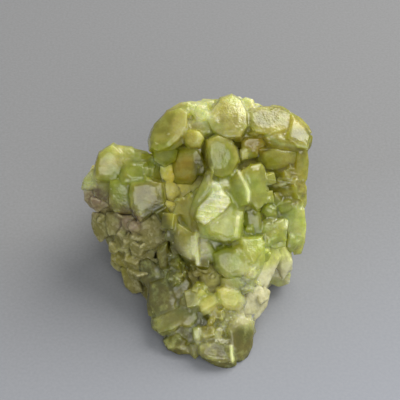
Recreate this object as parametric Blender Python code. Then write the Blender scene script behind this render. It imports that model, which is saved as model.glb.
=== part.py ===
"""Brazilianite crystal cluster: yellow-green crystals grown together on a pale granular matrix.

The cluster rests on a flat broken base. Its display face leans back, and the large crystals are
laid out on that face: "right" and "up" lie in it, and "out" points away from it.
Tables are in millimetres, and meshes are in metres.
"""

import math
import random
from dataclasses import dataclass
from itertools import combinations

import bmesh
import bpy
import numpy as np
from mathutils import Quaternion, Vector
from mathutils.bvhtree import BVHTree

MM = 0.001

# Driving dimensions, in millimetres.
DISPLAY_TILT = math.radians(42.0)  # the display face looks this far above the horizon
DISPLAY_CENTRE = Vector((0.0, 0.0, 20.0))
SEAT_GAP = 0.3  # between a group of crystals and what it grows from
FACE_SLOPE = 0.12  # a crystal's flat face is up to this much out of true with its outline
GRAIN_SIZES = (4.5, 9.0)
GRAIN_SPACING = 5.0
GRAIN_COUNT = 40
DISPLAY_SIDE = 0.1  # a surface that looks this squarely out of the display face has no loose grains
FLAT_ANGLE = math.radians(1.0)
WELD = 0.002
KEPT_SHARE = 0.85  # of a group's triangles: the rest are slivers along the joins
LONGEST_STEP = 2.5  # a sharp corner of a seat moves out by this many gaps at most
SEED = 7

# Sprays of free crystals: the turn from one crystal to the next, and how they fan out.
SPRAY_TURN = 2.4
SPRAY_FAN = 14.0
SPRAY_STRAY = 0.12
SPRAY_LIFT = 0.12

# Broken rock: how many corners a block or a grain has, and how boxy it is (1 is round).
BLOCK_CORNERS = 18
GRAIN_CORNERS = 9
BLOCKINESS = 0.7
SCATTER_TRIES = 40
REACH = 150.0  # further than the cluster reaches from its middle
CRYSTAL_ROUGHNESS = 0.2
MATRIX_COLOUR = (0.42, 0.40, 0.30)
MATRIX_ROUGHNESS = 0.8

# Brazilianite's unit cell sets the angles between its faces.
CELL_A, CELL_B, CELL_C, CELL_BETA = 11.23, 10.14, 7.10, math.radians(97.4)


@dataclass(frozen=True)
class Crystal:
    """A crystal seen square-on to the display face.

    outline: (right, up) corners, all round the crystal.
    out: how far the middle of the outline stands out.
    lean: how far the outline drops back per millimetre to the right, and per millimetre up.
    rim, rise: the flat face is this much smaller all round, and stands this much above the outline.
    face: (right, up) corners of the flat face, where it isn't the outline made smaller.
    crest: (right, up, above) points of a ridge or a tip, in place of a flat face.
    depth, root: the root lies this far behind the outline, and is this share of its size.
    """

    outline: tuple
    out: float
    lean: tuple = (0.0, 0.0)
    rim: float = 0.8
    rise: float = 0.7
    face: tuple = ()
    crest: tuple = ()
    depth: float = 4.5
    root: float = 0.65

    def solids(self, dice):
        """The crystal as a list of one set of points, whose convex hull is its solid."""
        middle = sum((Vector(p) for p in self.outline), Vector((0, 0))) / len(self.outline)
        radius = sum((Vector(p) - middle).length for p in self.outline) / len(self.outline)
        slope = Vector((dice.uniform(-1, 1), dice.uniform(-1, 1))) * FACE_SLOPE

        def place(point, above):
            drop = self.lean[0] * (point[0] - middle.x) + self.lean[1] * (point[1] - middle.y)
            return from_display(point[0], point[1], self.out - drop + above)

        def resized(share):
            return [middle + (Vector(p) - middle) * share for p in self.outline]

        points = [place(p, 0) for p in self.outline]
        if self.crest:
            points += [place(p, p[2]) for p in self.crest]
        else:
            inner, outer = resized(1 - 1.5 * self.rim / radius), resized(1 - self.rim / radius)
            for p in self.face or inner[0::3] + outer[1::3]:
                points.append(place(p, max(0.2, self.rise + slope.dot(Vector(p) - middle))))
        points += [place(p, -self.depth) for p in resized(self.root)[::3]]
        return [points]


def from_display(right, up, out):
    """A point given on the display face, in millimetres in the world."""
    sine, cosine = math.sin(DISPLAY_TILT), math.cos(DISPLAY_TILT)
    return DISPLAY_CENTRE + Vector((right, up * sine - out * cosine, up * cosine + out * sine))


CROWN = (
    # the mass behind and between them
    Crystal(((-11.5, 16), (-11, 20), (-3, 24), (5, 25), (13, 24.5), (20, 23), (26, 19.5), (27.5, 16),
             (12, 17.5), (4, 17.5)),
            11.6, (0, 0.55), rim=1.0, rise=0.3, depth=11, root=0.8),
    # left end
    Crystal(((-9, 23), (-5.5, 25.5), (-2.5, 26), (1.5, 25.5), (3, 25), (1.5, 22.5), (-2.5, 21), (-7.5, 21)),
            11, (0, 0.8), rim=1.5, rise=1.2),
    Crystal(((-13, 14.5), (-13, 17.5), (-12, 20), (-9.5, 22.5), (-6.5, 23.5), (-4.5, 21.5), (-4, 17.5),
             (-4.5, 14.5), (-6.5, 13), (-10, 12.8)), 12, (-0.3, 0.3), rim=2.2, rise=1.8),
    Crystal(((-12.5, 13), (-6, 14), (-6, 10.5), (-8.5, 9.5), (-9.5, 9), (-12, 10.5)), 10.5, (0, -0.3)),
    Crystal(((-2, 22), (-1, 24), (0, 23.8), (3.5, 23), (3, 21), (0, 20.8)), 14.5, (0, 0.6)),
    Crystal(((-3, 20.5), (3, 20.8), (4, 19), (3, 17), (-1, 16.5), (-3, 18)), 15.2, (-0.1, 0.3), rim=1.1),
    Crystal(((-4, 17.5), (-2.5, 18.3), (0, 17.8), (0.8, 15.5), (-0.5, 13.8), (-2.8, 13.8), (-4, 15.5)),
            16.3, (-0.2, 0), rim=1.0, rise=1.0),
    # the middle dome
    Crystal(((2.3, 18), (2.3, 22), (3.8, 25.5), (6, 27), (8.5, 27.3), (10.3, 25.8), (12, 23), (12.2, 19),
             (11, 16.5), (8, 15.5), (4.5, 16.3)), 14, (0, 0.55), rim=2.4, rise=2.2, depth=6),
    Crystal(((10.5, 25.8), (11.5, 26.8), (13, 26.8), (14.3, 26), (14.3, 24), (12, 23.5), (10.5, 24.3)),
            10, (0, 0.4)),
    # right end
    Crystal(((12, 24.5), (15, 24.3), (17.5, 24), (18.5, 21.5), (17, 19.5), (13, 19.5), (11.8, 21.5)),
            12.8, (0, 0.7), rim=1.4, rise=1.1),
    Crystal(((12, 20), (15, 20.5), (17, 19.5), (16.5, 17.5), (14.5, 16.3), (12.5, 16.8)), 14.8, (0, 0.3)),
    Crystal(((17.5, 24), (19, 25), (21.5, 24.7), (23.5, 23.3), (24, 21.5), (21.5, 20.5), (18, 21.5)),
            10.5, (0.2, 0.9), rim=1.1, rise=1.1),
    Crystal(((21.5, 21.5), (24, 23), (26.5, 21.5), (28.5, 19.3), (29.3, 17.5), (27, 16.5), (23, 17.5),
             (21, 19.5)),
            11.5, (0.4, 0.7), rim=1.3, rise=1.2),
    Crystal(((16, 20), (19, 21.3), (22, 20.5), (23.5, 17.5), (21.5, 15.5), (17.5, 16), (15.8, 17.5)),
            14, (0.1, 0.4), rim=1.2, rise=1.1),
    Crystal(((22, 17), (25, 18), (28, 17.5), (29.3, 16.5), (28.8, 14), (28, 13), (24.5, 13.8), (21.5, 15)),
            14.2, (0.3, 0.2), rim=1.1, rise=1.0),
    Crystal(((16.5, 16), (20, 15.5), (24, 14.8), (28, 13.5), (27.5, 12.8), (22, 13.3), (19, 14), (17, 15)),
            14.6, (0, -0.5), rim=0.3, rise=0.3, depth=5),
    # faces under the crown's right end
    Crystal(((10.5, 16.5), (13, 16.8), (16.5, 16.5), (16.8, 14.5), (15.5, 12), (13.5, 11.3), (11.5, 12.5),
             (10.5, 14)), 10.8, (-0.2, -0.4)),
    Crystal(((10.5, 13.5), (12, 14), (13, 12.5), (12, 10.5), (10.7, 10.7)), 12, rim=0.5),
    Crystal(((15.8, 14.3), (19, 14.3), (19.3, 11), (18, 10), (15.8, 10.7)), 10, (-0.3, -0.5)),
    Crystal(((18.3, 14.3), (25.6, 13.6), (26, 10.4), (22.5, 8.8), (18.8, 9.6)), 10.6, (-0.5, -0.8),
            rim=0.6),
    Crystal(((15.8, 11), (19.5, 9.8), (25.8, 10.2), (25.5, 7.6), (21.5, 5.8), (16.8, 7)),
            10.4, (-0.5, 0.1), rim=0.6),
    Crystal(((16.8, 7.6), (20, 6.8), (26, 8), (25.6, 4.8), (21, 3.4), (17, 4.4)), 9.6, (-0.5, 0.6),
            rim=0.5),
    Crystal(((16.6, 4.8), (20, 4.4), (24.8, 5.4), (24.6, 2), (20, 0.6), (16.8, 1.6)), 9.0, (-0.6, 0.2),
            rim=0.5),
    Crystal(((16, 2), (20.5, 2), (24, 2.7), (23.8, -0.6), (20, -1.8), (16.8, -1)), 8.7, (-0.4, 0.7),
            rim=0.5),
    # the wall that closes the right side
    Crystal(((15, 14), (25, 14), (26, 5), (25.5, -12), (17, -11), (14, -2)), 5.4, (0, -0.5),
            rim=0.5, rise=0.3,
            root=0.85),
    Crystal(((25.3, 13), (27.7, 13.3), (28.3, 9.5), (28, 5.5), (26.8, 3.5), (25, 5), (24.6, 9)),
            12.3, (0.2, -0.5), rim=0.6),
    Crystal(((24.3, 5.5), (26.8, 6), (28, 3.5), (28.2, -1), (27, -3.5), (24.8, -3), (23.8, 1)),
            8.6, (0.2, -0.6), rim=0.6),
    Crystal(((23.3, 1.5), (25, 0), (25.6, -4), (25.4, -8.5), (23.6, -10.5), (22.4, -6.5), (22.3, -1.5)),
            7.4, (-0.1, -0.5), rim=0.7),
    Crystal(((25.6, -2.5), (27.4, -2), (28.2, -6.5), (28, -11.5), (27.3, -14.6), (25.2, -14.8),
             (24.6, -10.5),
             (25, -6)), 5.2, (0.2, -0.6), rim=0.6),
    Crystal(((23.6, -9), (25.3, -9.5), (25.5, -13), (24.3, -14.2), (22.8, -12.5)), 5.2, (0, -0.5), rim=0.5),
    Crystal(((19.5, -1), (22.5, -1), (22.8, -5.5), (20, -5), (20.5, -3)), 8),
    Crystal(((16, -2.8), (17, -1.4), (18.7, -1), (20, -2.3), (19, -4), (17.3, -4.3)),
            11, rim=0.6, rise=0.7, depth=7),
    Crystal(((16.3, -5), (18.5, -4.5), (22, -4.8), (22.8, -8), (22.3, -12.2), (19.5, -12.8), (16.8, -11.5)),
            10.5, (0.2, 0.2), rim=1.0, depth=7),
)

RECESS = (
    Crystal(((-6.5, 13.5), (-2.5, 14.5), (0.5, 13.5), (0.5, 10.5), (-0.5, 7), (-1.5, 4.2), (-4, 3.9),
             (-8.3, 4.7), (-9, 7.5), (-7.8, 9.5)), 8.5, (-0.4, -0.4)),
    Crystal(((-0.5, 10.5), (1, 10.7), (2.3, 8.5), (1.5, 6), (-0.5, 6.5), (-1, 8.5)), 11, rim=0.6),
)

CENTRE = (
    # the mass behind them
    Crystal(((-5, -1), (-1, 3), (4, 6), (9, 7), (11, 3), (10.5, -8), (10, -14), (3, -16), (-3, -14.5),
             (-6.5, -9)),
            15.3, (0, 0), rim=0.8, rise=0.3, depth=8, root=0.8),
    Crystal(((8, 7), (15, 8), (16, 3), (15.5, -1.5), (11, -3), (8, -1)),
            14.5, rim=0.8, rise=0.3, depth=8, root=0.8),
    Crystal(((3.5, -13), (8, -11), (16, -10.5), (16.3, -14), (14, -22), (8, -22)),
            14.5, rise=0.3, depth=8, root=0.8),
    # the upright blade in front of the recess
    Crystal(((4.4, 16.8), (8.3, 15.3), (9.4, 12.5), (10, 11), (8.6, 7.8), (7.4, 6.2), (4.7, 6), (2.9, 6.2),
             (1.8, 8.8), (1.8, 11.3), (2.9, 14.8)), 17, (0.1, -0.1), rim=0.5, rise=0.4),
    # the main crystal, with its bright lozenge face
    Crystal(((4.4, 4.3), (8.2, 0.2), (11, -1.5), (10.8, -5), (9, -9.5), (6.5, -10.8), (3, -9.5), (0, -8.5),
             (-1.3, -4.5), (-0.5, -2), (1.3, 0.5)), 18.5, (0, 0.25), rise=1.6,
            face=((4.4, 3.6), (8, -0.4), (7.8, -1), (5, -4.2), (1.2, -6.3), (-1, -4.3), (-0.4, -2.3),
            (1.6, 0.3))),
    Crystal(((2.9, 8.3), (3.6, 7.3), (2.3, 5.2), (0.8, 1.3), (0, -1.8), (-0.8, -5.7), (-1.4, -8.6),
             (-2.2, -7.3),
             (-1.8, -1.6), (-0.8, 2.6), (0.8, 5.7)), 18, (-0.7, 0.1), rim=0.3, rise=0.3),
    Crystal(((8, 0), (11.2, 1), (11.7, -1.3), (10.7, -5.7), (10.1, -9.4), (8.3, -10.4), (7.5, -6.8)),
            18.2, (0.5, 0.1), rim=0.5),
    Crystal(((-0.8, -6.8), (3.4, -7.5), (7.5, -9.9), (10.4, -10), (6.8, -11.2), (3.4, -9.9), (0, -9.4)),
            18, (0, -0.2), rim=0.3, rise=0.3, depth=6),
    # two leaves that meet in a V
    Crystal(((10.1, 7.8), (11.4, 6.2), (12.5, 4.2), (13, 2.1), (12.7, -0.3), (11.2, -1.6), (9.4, -0.8),
             (7.8, 1),
             (7.3, 3.6), (7.8, 5.7)), 17.5, (-0.2, 0.2),
            crest=((10.3, 7.2, 0.6), (12.3, 3.6, 1.3), (12.6, 0.3, 1.0), (9.3, 1.5, 0.7))),
    Crystal(((10.7, 7.5), (13, 9.1), (15.9, 9.4), (16.9, 7.3), (17.2, 4.7), (16.6, 1.3), (16.1, -1.6),
             (14.6, -2.6),
             (13.3, -1.3), (13, 2.1), (12.2, 4.7)), 17, (0.35, 0.1), rim=0.6, rise=0.5),
    # left and below
    Crystal(((-3.4, 1.6), (-6, -1.8), (-5.7, -3.6), (-4.4, -5.7), (-2.6, -7.8), (-1.8, -5.7), (-2, -2.6),
             (-1.6, 0),
             (-2.3, 1.8)), 16, (-0.4, 0.1), rim=0.6, rise=0.5),
    Crystal(((-7.5, -7.5), (-5.7, -6), (-2.6, -8), (-0.8, -8), (-0.3, -9.9), (-0.3, -16.1), (-1, -16.6),
             (-4.2, -15),
             (-7, -12.2), (-7.8, -9.9)), 17, (0, -0.1),
            crest=((-1.3, -9, 1.5), (-0.9, -13, 2.0), (-0.6, -16, 1.2), (-4, -9.5, 0.9), (-4.5, -13, 0.9))),
    Crystal(((0, -11.7), (3.9, -13), (3.6, -16.4), (1.3, -16.6), (-0.3, -16.1)), 16, (0, -0.1)),
    Crystal(((4.2, -13), (6.5, -12), (9, -13.5), (9.5, -18), (8, -20.3), (6.8, -20), (4.4, -18.2),
             (3.6, -15.1)),
            17.2, (-0.1, 0.1), rim=1.2, rise=1.0),
    Crystal(((8, -11.5), (12, -11.5), (16.5, -12.5), (16.8, -15), (16.1, -17.7), (14.6, -20.3),
             (12.5, -21.3),
             (9.5, -20.5), (8, -17)), 16.8, (0.2, 0.1), rim=1.3, rise=1.0),
    Crystal(((7.5, -10.8), (10.4, -9.9), (15.1, -9.4), (16.8, -10.8), (16.5, -13.3), (11, -13), (8, -12.5)),
            15.8, (0, 0.3)),
    Crystal(((6.5, -20.5), (10, -20.5), (14, -21.5), (14, -23), (11, -23.5), (7, -22.5)), 16.5),
    Crystal(((11.5, -0.5), (15, -0.5), (16, -5), (16.2, -9), (13, -9.3), (11, -6)), 11.5),
)

SHOULDER = (
    # the mass behind them
    Crystal(((-29, 7), (-27, 11), (-22, 13), (-14, 11), (-11, 6), (-11, 0), (-15, -4), (-22, -2), (-28, 1)),
            8, (-0.25, 0.25), rise=0.3, depth=6, root=0.8),
    Crystal(((-28, 8.8), (-29.9, 7.2), (-31.2, 5), (-31.7, 2.7), (-30.4, 3), (-28.5, 3.5), (-27, 4.5),
             (-27.5, 6.7)), 5, (-0.4, 0.3)),
    Crystal(((-23.6, 14.2), (-25.7, 12.9), (-27, 11), (-27.6, 8.7), (-28.1, 5.8), (-26.8, 4.7),
             (-24.1, 5.5),
             (-22.1, 6.6), (-20.7, 9.7), (-21.5, 12.6), (-22.8, 14.7)), 9, (-0.3, 0.3), rim=1.2, rise=1.0),
    Crystal(((-22.9, 14.8), (-21.1, 14.5), (-18.2, 14), (-16.4, 12.9), (-13.7, 12.7), (-12.9, 11.6),
             (-14.5, 10.6),
             (-17.2, 10.6), (-20, 10), (-21.6, 12.1)), 8.5, (0, 0.7), rim=0.9),
    Crystal(((-19.8, 9.6), (-17.7, 10.4), (-13.8, 10.4), (-12.7, 8.6), (-13.5, 5.7), (-15.1, 4.2),
             (-18.2, 4.4),
             (-20.3, 4.2), (-21.1, 6)), 11.5, (0.1, 0.35), rim=1.0),
    Crystal(((-23.9, 5.7), (-21.8, 4.7), (-19, 3.1), (-18.2, 0), (-18.2, -3.4), (-19.8, -3.7),
             (-22.1, -2.9),
             (-23.7, -1.3), (-23.9, 1.3)), 10, (-0.2, -0.2), rim=1.0),
    Crystal(((-18.2, 3.9), (-14.3, 4.9), (-10.4, 4.4), (-9.4, 2.1), (-9.6, -1), (-11.4, -2.6), (-13, -4.4),
             (-15.9, -5.5), (-17.4, -3.9), (-18.2, -0.8)), 12, (0.1, 0), rim=1.2, rise=1.0),
    Crystal(((-13.5, 11.5), (-12, 11.5), (-10.5, 9), (-11, 6), (-12.8, 5.5), (-13.5, 8)), 8.5),
)

FOOT = (
    # the mass behind them
    Crystal(((-7, -24), (2, -24), (10, -24.5), (12, -31), (11, -40), (4, -40), (-6, -37), (-11, -32),
             (-11, -26)),
            14.3, (-0.15, 0.1), rise=0.3, depth=6, root=0.85),
    Crystal(((-11, -13), (-5.5, -14), (-3, -18), (-3, -26), (-10, -27), (-11, -20)),
            10.6, (-0.2, 0.1), rise=0.3, root=0.8),
    Crystal(((-8.8, -13), (-7.3, -12.2), (-4.4, -14.8), (-3.6, -17.7), (-5, -18.5), (-7.8, -17.4)),
            12.3, (-0.2, 0)),
    Crystal(((-11.4, -12.7), (-10.4, -11.4), (-8.8, -13.3), (-8.3, -17), (-9.4, -17.7), (-10.9, -15)),
            12.6, (-0.3, 0)),
    Crystal(((-10.4, -22.9), (-6.2, -23.4), (-6.5, -26.8), (-7.3, -29.1), (-10.9, -30.2), (-13.5, -30.4),
             (-14, -27.3), (-12.5, -24.7)), 11.5, (-0.4, 0)),
    Crystal(((-8.3, -18.2), (-4.7, -18.7), (-2.6, -21.3), (-3.1, -25.5), (-6.2, -26.5), (-7.8, -23.4),
             (-8.8, -20.8)), 13, (-0.2, 0)),
    Crystal(((-2.6, -26), (-3.4, -26.8), (-1.3, -29.4), (0, -28.1), (-0.3, -24.7), (1.3, -23.4), (0, -22.6),
             (-1.8, -24.2)), 16, (-0.2, 0.1), rim=0.4),
    Crystal(((0.3, -26.5), (2.1, -25), (4.9, -24.2), (4.7, -26.8), (2.6, -28.9), (0.8, -29.6),
             (-0.3, -28.1)),
            17.3, (0, 0.2), rim=0.5),
    Crystal(((4.7, -24.2), (6, -23.7), (7.3, -24.5), (6.8, -26.3), (5.2, -26.8)), 17.3, rim=0.5),
    Crystal(((5.7, -25.5), (7.3, -23.7), (10.4, -23.7), (11.7, -25.2), (9.9, -28.1), (7.3, -28.3),
             (5.7, -27)),
            16.6, (0.2, 0.2)),
    Crystal(((3.1, -27.6), (6, -28.6), (8.3, -29.1), (7, -31.5), (4.7, -32.2), (3, -30.5)), 16.3, (0, 0.1)),
    Crystal(((-12.5, -31.2), (-10.4, -30.4), (-6.5, -28.6), (-3.6, -29.9), (-4.9, -32), (-6.5, -33.8),
             (-9.6, -35.1), (-12.2, -33.5)), 14.3, (-0.3, 0.2)),
    Crystal(((-4.9, -29.1), (-1, -28.6), (-0.5, -30.2), (-2.1, -32.8), (-4.7, -32.5), (-6.2, -31.2)),
            16, (-0.1, 0.1), rim=0.7),
    Crystal(((-1.8, -33.5), (-0.5, -33), (0.5, -34.3), (0.3, -36.5), (-1, -36.9), (-1.8, -35.6)),
            17.5, rim=0.4),
    Crystal(((1.8, -34.8), (3.9, -32.5), (6, -32.2), (5.7, -34.6), (4.4, -36.1), (2.3, -35.9)),
            17, rim=0.6),
    Crystal(((-9.4, -36.9), (-7.3, -35.4), (-4.7, -36.9), (-2.6, -37.7), (-2.3, -39.5), (-5.2, -39.8),
             (-8.3, -38.7)), 15.3, (-0.3, 0)),
    Crystal(((-2.6, -36.9), (-0.3, -37.2), (0, -39.5), (-1.3, -40.8), (-2.6, -39.5)), 16.3, rim=0.5),
    Crystal(((0, -38.5), (2.6, -35.9), (5.7, -36.7), (8.1, -38), (9.4, -40.6), (9.4, -42.1), (7.3, -43.2),
             (3.9, -42.4), (0.3, -40.3)), 18, (0, -0.1), rim=1.2, rise=1.0, depth=5),
    Crystal(((7.5, -31.2), (11.7, -30.4), (14, -31.7), (13.8, -34.8), (13.5, -38), (12.2, -40.8),
             (9.9, -42.1),
             (8.6, -39.5), (8.1, -37.2), (8.8, -34.6), (6.8, -33.3)), 16, (0.5, 0), rim=0.9, depth=5),
)

KNOB = (
    Crystal(((18.3, -16.9), (21.5, -15.6), (23.7, -17.5), (24.5, -20.2), (23.7, -22.6), (21.3, -23.4),
             (19.1, -22.6), (18, -20.2)), 1.5, (0.2, 0), rim=1.4, rise=1.4, depth=6),
)

# Lumps and broken ledges of the matrix itself, on its display side.
LUMPS = (
    Crystal(((-29, -3.2), (-25.6, -3.8), (-24.2, -5.9), (-24.8, -9.4), (-26.9, -11.6), (-28.5, -9.4),
             (-29.3, -6.5)), 1, (-0.6, -0.4)),
    Crystal(((-31, 2.7), (-27.3, 4.2), (-24.4, 4.2), (-24.1, -1.3), (-27.3, -3.2), (-29.2, -1.9),
             (-30.8, 0)),
            5, (-0.5, -0.2)),
    Crystal(((-24.9, -3.4), (-21.5, -3.2), (-20, -5.8), (-21.5, -8.4), (-24.2, -9.5), (-25.2, -6.6)),
            5, (-0.3, 0)),
    Crystal(((-20.3, -4.2), (-17.7, -3.9), (-16.1, -5.7), (-16.6, -8.1), (-19.2, -7.8), (-20.5, -6.2)),
            8.5),
    Crystal(((-22.3, -7.4), (-18.9, -7.4), (-15.7, -8.1), (-17.6, -11.8), (-19.7, -13.9), (-23.1, -13.1)),
            6, (-0.4, 0.1)),
    Crystal(((-16.1, -4.9), (-13, -5.7), (-10.9, -3.9), (-8.8, -5.7), (-10.4, -9.4), (-13.8, -10.4),
             (-16.1, -8.3)),
            10.5, (-0.2, 0)),
    Crystal(((-23.8, -13.5), (-20.6, -14), (-18.9, -15.7), (-20, -18.1), (-22.4, -17.6), (-24.3, -16)),
            -1, (-0.5, 0)),
    Crystal(((-18.9, -13.1), (-14.4, -11.8), (-11.6, -13.1), (-12.6, -16.3), (-16.3, -16.3),
             (-18.4, -15.2)),
            7, (-0.3, 0)),
    Crystal(((-16.6, -16.1), (-13.5, -15.1), (-10.9, -15.6), (-9.9, -18.7), (-11.4, -21.8), (-13.5, -23.4),
             (-15.3, -21.1), (-16.6, -18.7)), 8, (-0.3, 0)),
    Crystal(((-21.6, -18.6), (-18.8, -16.9), (-17.2, -19.7), (-16.4, -22.4), (-15.3, -24.8), (-18, -25.4),
             (-20.2, -23.5)), -0.5, (-0.4, -0.1)),
    Crystal(((-15.6, -8.3), (-12.5, -9.9), (-8.8, -8.3), (-8.3, -11.7), (-10.9, -12.2), (-13.5, -13),
             (-16.1, -12)),
            10, (-0.2, 0)),
    Crystal(((-13.8, -23.4), (-10.9, -22.4), (-8.8, -23.9), (-10.4, -27.6), (-13.8, -27.6)), 8, (-0.5, 0)),
    Crystal(((-10.9, 9.6), (-7.8, 9.9), (-5.7, 7.3), (-7.3, 4.7), (-10.4, 5.2)), 8.5),
    Crystal(((-9.9, 4.7), (-6.5, 4.4), (-5.2, 2.1), (-6.8, -0.8), (-9.4, 0.5)), 9),
    Crystal(((-9.4, 0), (-6.2, -1), (-5.7, -3.6), (-7.8, -5.7), (-10.4, -3.6)), 10.5),
    Crystal(((-13, -3.9), (-10.4, -3.1), (-7.8, -5.7), (-7.3, -8.3), (-10.4, -7.8)), 11.5),
    Crystal(((-3.5, -17.5), (-0.5, -17), (0.5, -20.5), (-1, -22.5), (-3.5, -21)), 11.5, (-0.1, 0)),
    Crystal(((0, -16.5), (3, -17.5), (6.5, -20.5), (4.5, -23), (0, -22.5)), 13, (0, -0.2)),
    Crystal(((10.5, -28.5), (12.5, -23.5), (15.5, -22), (18.5, -24), (17.5, -28), (15, -31), (11.5, -30.5)),
            11, (0.8, 0)),
    Crystal(((14.5, -22), (16, -12), (20.5, -12.5), (21.5, -15), (17.5, -23)), 8.5, (0.8, 0)),
)

@dataclass(frozen=True)
class Spray:
    """Crystals that fan out of one root: where it is, the way it points, and each crystal's size."""

    root: tuple
    way: tuple
    spread: float
    sizes: tuple

    def solids(self, dice):
        """The corners of each crystal in turn."""
        way = Vector(self.way).normalized()
        across = way.orthogonal().normalized()
        found = []
        for count, (width, length) in enumerate(self.sizes):
            round_way = Quaternion(way, SPRAY_TURN * count) @ across
            reach = self.spread * math.sqrt(count / len(self.sizes))
            stray = Vector([dice.uniform(-SPRAY_STRAY, SPRAY_STRAY) for _ in range(3)])
            lie = (way + round_way * reach / SPRAY_FAN + stray).normalized()
            turn = Quaternion(lie, dice.uniform(0, math.tau)) @ Vector((0, 0, 1)).rotation_difference(lie)
            place = Vector(self.root) + round_way * reach + lie * length * SPRAY_LIFT
            found.append([place + turn @ corner for corner in habit(width, length, dice)])
        return found


# The crown's far side, and the groups that grow on the flanks and the back.
CROWN_BACK = (
    Spray((-4, 13, 31), (-0.3, 0.8, 0), 4, ((9, 12), (7, 10), (6, 9))),
    Spray((4, 15, 33), (0, 1, 0.1), 5, ((10, 13), (8, 11), (7, 9))),
    Spray((13, 14, 34), (0.1, 1, 0.1), 5, ((10, 12), (8, 11), (7, 9))),
    Spray((20, 12, 32), (0.4, 0.8, 0.1), 4, ((8, 12), (7, 10))),
)
RIGHT_FLANK = (Spray((18, 6, 17), (1, 0.3, 0.2), 6, ((9, 13), (8, 11), (7, 10), (7, 9), (6, 9))),)
BACK = (Spray((3, 21, 19), (0.1, 1, 0.3), 7, ((10, 13), (9, 11), (8, 11), (7, 10), (7, 9))),)
LEFT_BACK = (Spray((-17, 11, 18), (-0.7, 0.7, 0.3), 5, ((9, 12), (7, 10), (7, 9), (6, 8))),)

GREEN = (0.38, 0.43, 0.12)
OLIVE = (0.36, 0.36, 0.12)
HONEY = (0.30, 0.22, 0.05)
GROUPS = (
    ("foot_crystals", FOOT, OLIVE),
    ("centre_crystals", CENTRE, GREEN),
    ("recess_crystals", RECESS, HONEY),
    ("shoulder_crystals", SHOULDER, GREEN),
    ("crown_crystals", CROWN + CROWN_BACK, OLIVE),
    ("knob_crystal", KNOB, GREEN),
    ("right_flank_crystals", RIGHT_FLANK, GREEN),
    ("back_crystals", BACK, GREEN),
    ("left_back_crystals", LEFT_BACK, GREEN),
)

# The matrix: hulls of (x, y, z) points in the world, from broken face to broken face.
ROCK = (
    # body
    ((-10, 6, 36), (-8, 14, 35), (4, 16, 36), (20, 14, 34), (25, 6, 33), (24, 0, 30), (-8, 0, 30),
     (-6, -8, 24), (10, -11, 25), (20, -8, 20), (-17, -14, 0), (-20, 2, 0), (-14, 14, 0), (0, 18, 0),
     (16, 16, 0), (22, 6, 0), (22, -8, 0), (15, -20, 0), (-12, -22, 0)),
    # foot
    ((-12, -22, 0), (-9, -33, 0), (-4, -37, 0), (7, -41, 0), (11, -38, 0), (14, -30, 0), (15.5, -20, 0),
     (-8, -22, 9), (-4, -32, 5), (6, -36, 5), (11, -28, 8), (12, -16, 15), (-4, -14, 18)),
    # left arm
    ((-28, -2, 14), (-23.5, -6.5, 5.5), (-19.5, -12.5, 0), (-27, 6, 16), (-25, 8, 26), (-27, 0, 26),
     (-20, -6, 24), (-14, -9, 22), (-12, 8, 30), (-14, 10, 6), (-16, 0, 0), (-18, 8, 0)),
)
# Broken blocks round its back and flanks: middle, and half its size each way.
BLOCKS = (
    ((13, 13, 9), (12, 9, 12)),
    ((-5, 15, 9), (12, 9, 13)),
    ((-14, 7, 13), (9, 10, 10)),
    ((19, 3, 14), (7, 11, 13)),
    ((8, 14, 25), (12, 8, 11)),
    ((-6, 13, 27), (8, 8, 10)),
    ((20, 9, 27), (6, 8, 9)),
    ((-22, 3, 21), (7, 8, 8)),
    ((20, -9, 8), (5, 8, 9)),
    ((-13, -4, 8), (9, 10, 8)),
)


def clear_scene():
    """Remove every object of the open file."""
    for existing in list(bpy.data.objects):
        bpy.data.objects.remove(existing, do_unlink=True)


def hull(points, growth=0.0):
    """A convex solid around points given in millimetres, grown by so many millimetres all round."""
    mesh = bmesh.new()
    for point in points:
        mesh.verts.new(Vector(point) * MM)
    made = bmesh.ops.convex_hull(mesh, input=mesh.verts)
    loose = [v for v in made["geom_interior"] + made["geom_unused"] if isinstance(v, bmesh.types.BMVert)]
    bmesh.ops.delete(mesh, geom=list(set(loose)), context="VERTS")
    bmesh.ops.recalc_face_normals(mesh, faces=mesh.faces)
    if growth:
        grown = [grown_corner(vertex, growth * MM) / MM for vertex in mesh.verts]
        mesh.free()
        return hull(grown)
    bmesh.ops.dissolve_limit(mesh, angle_limit=FLAT_ANGLE, verts=mesh.verts, edges=mesh.edges)
    return mesh


def grown_corner(vertex, distance):
    """Where a corner goes when each flat that meets in it moves out by the distance."""
    normals = np.array([face.normal for face in vertex.link_faces])
    step = Vector(np.linalg.lstsq(normals, np.full(len(normals), distance), rcond=None)[0])
    step.length = min(step.length, LONGEST_STEP * distance)
    return vertex.co + step


def add_solid(name, points, growth=0.0):
    """Put the convex solid around the points in the scene as an object."""
    mesh = hull(points, growth)
    data = bpy.data.meshes.new(name)
    mesh.to_mesh(data)
    mesh.free()
    made = bpy.data.objects.new(name, data)
    bpy.context.scene.collection.objects.link(made)
    return made


def combine(target, others, operation):
    """Join other objects to the target, or cut them from it, all at once; they are used up."""
    tools = bpy.data.collections.new("tools")
    bpy.context.scene.collection.children.link(tools)
    for other in others:
        bpy.context.scene.collection.objects.unlink(other)
        tools.objects.link(other)
    change = target.modifiers.new("combine", "BOOLEAN")
    change.operation = operation
    change.operand_type = "COLLECTION"
    change.collection = tools
    change.solver = "EXACT"
    graph = bpy.context.evaluated_depsgraph_get()
    data = bpy.data.meshes.new_from_object(target.evaluated_get(graph))
    target.modifiers.clear()
    target.data = data
    for other in others:
        bpy.data.objects.remove(other, do_unlink=True)
    bpy.data.collections.remove(tools)


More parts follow.
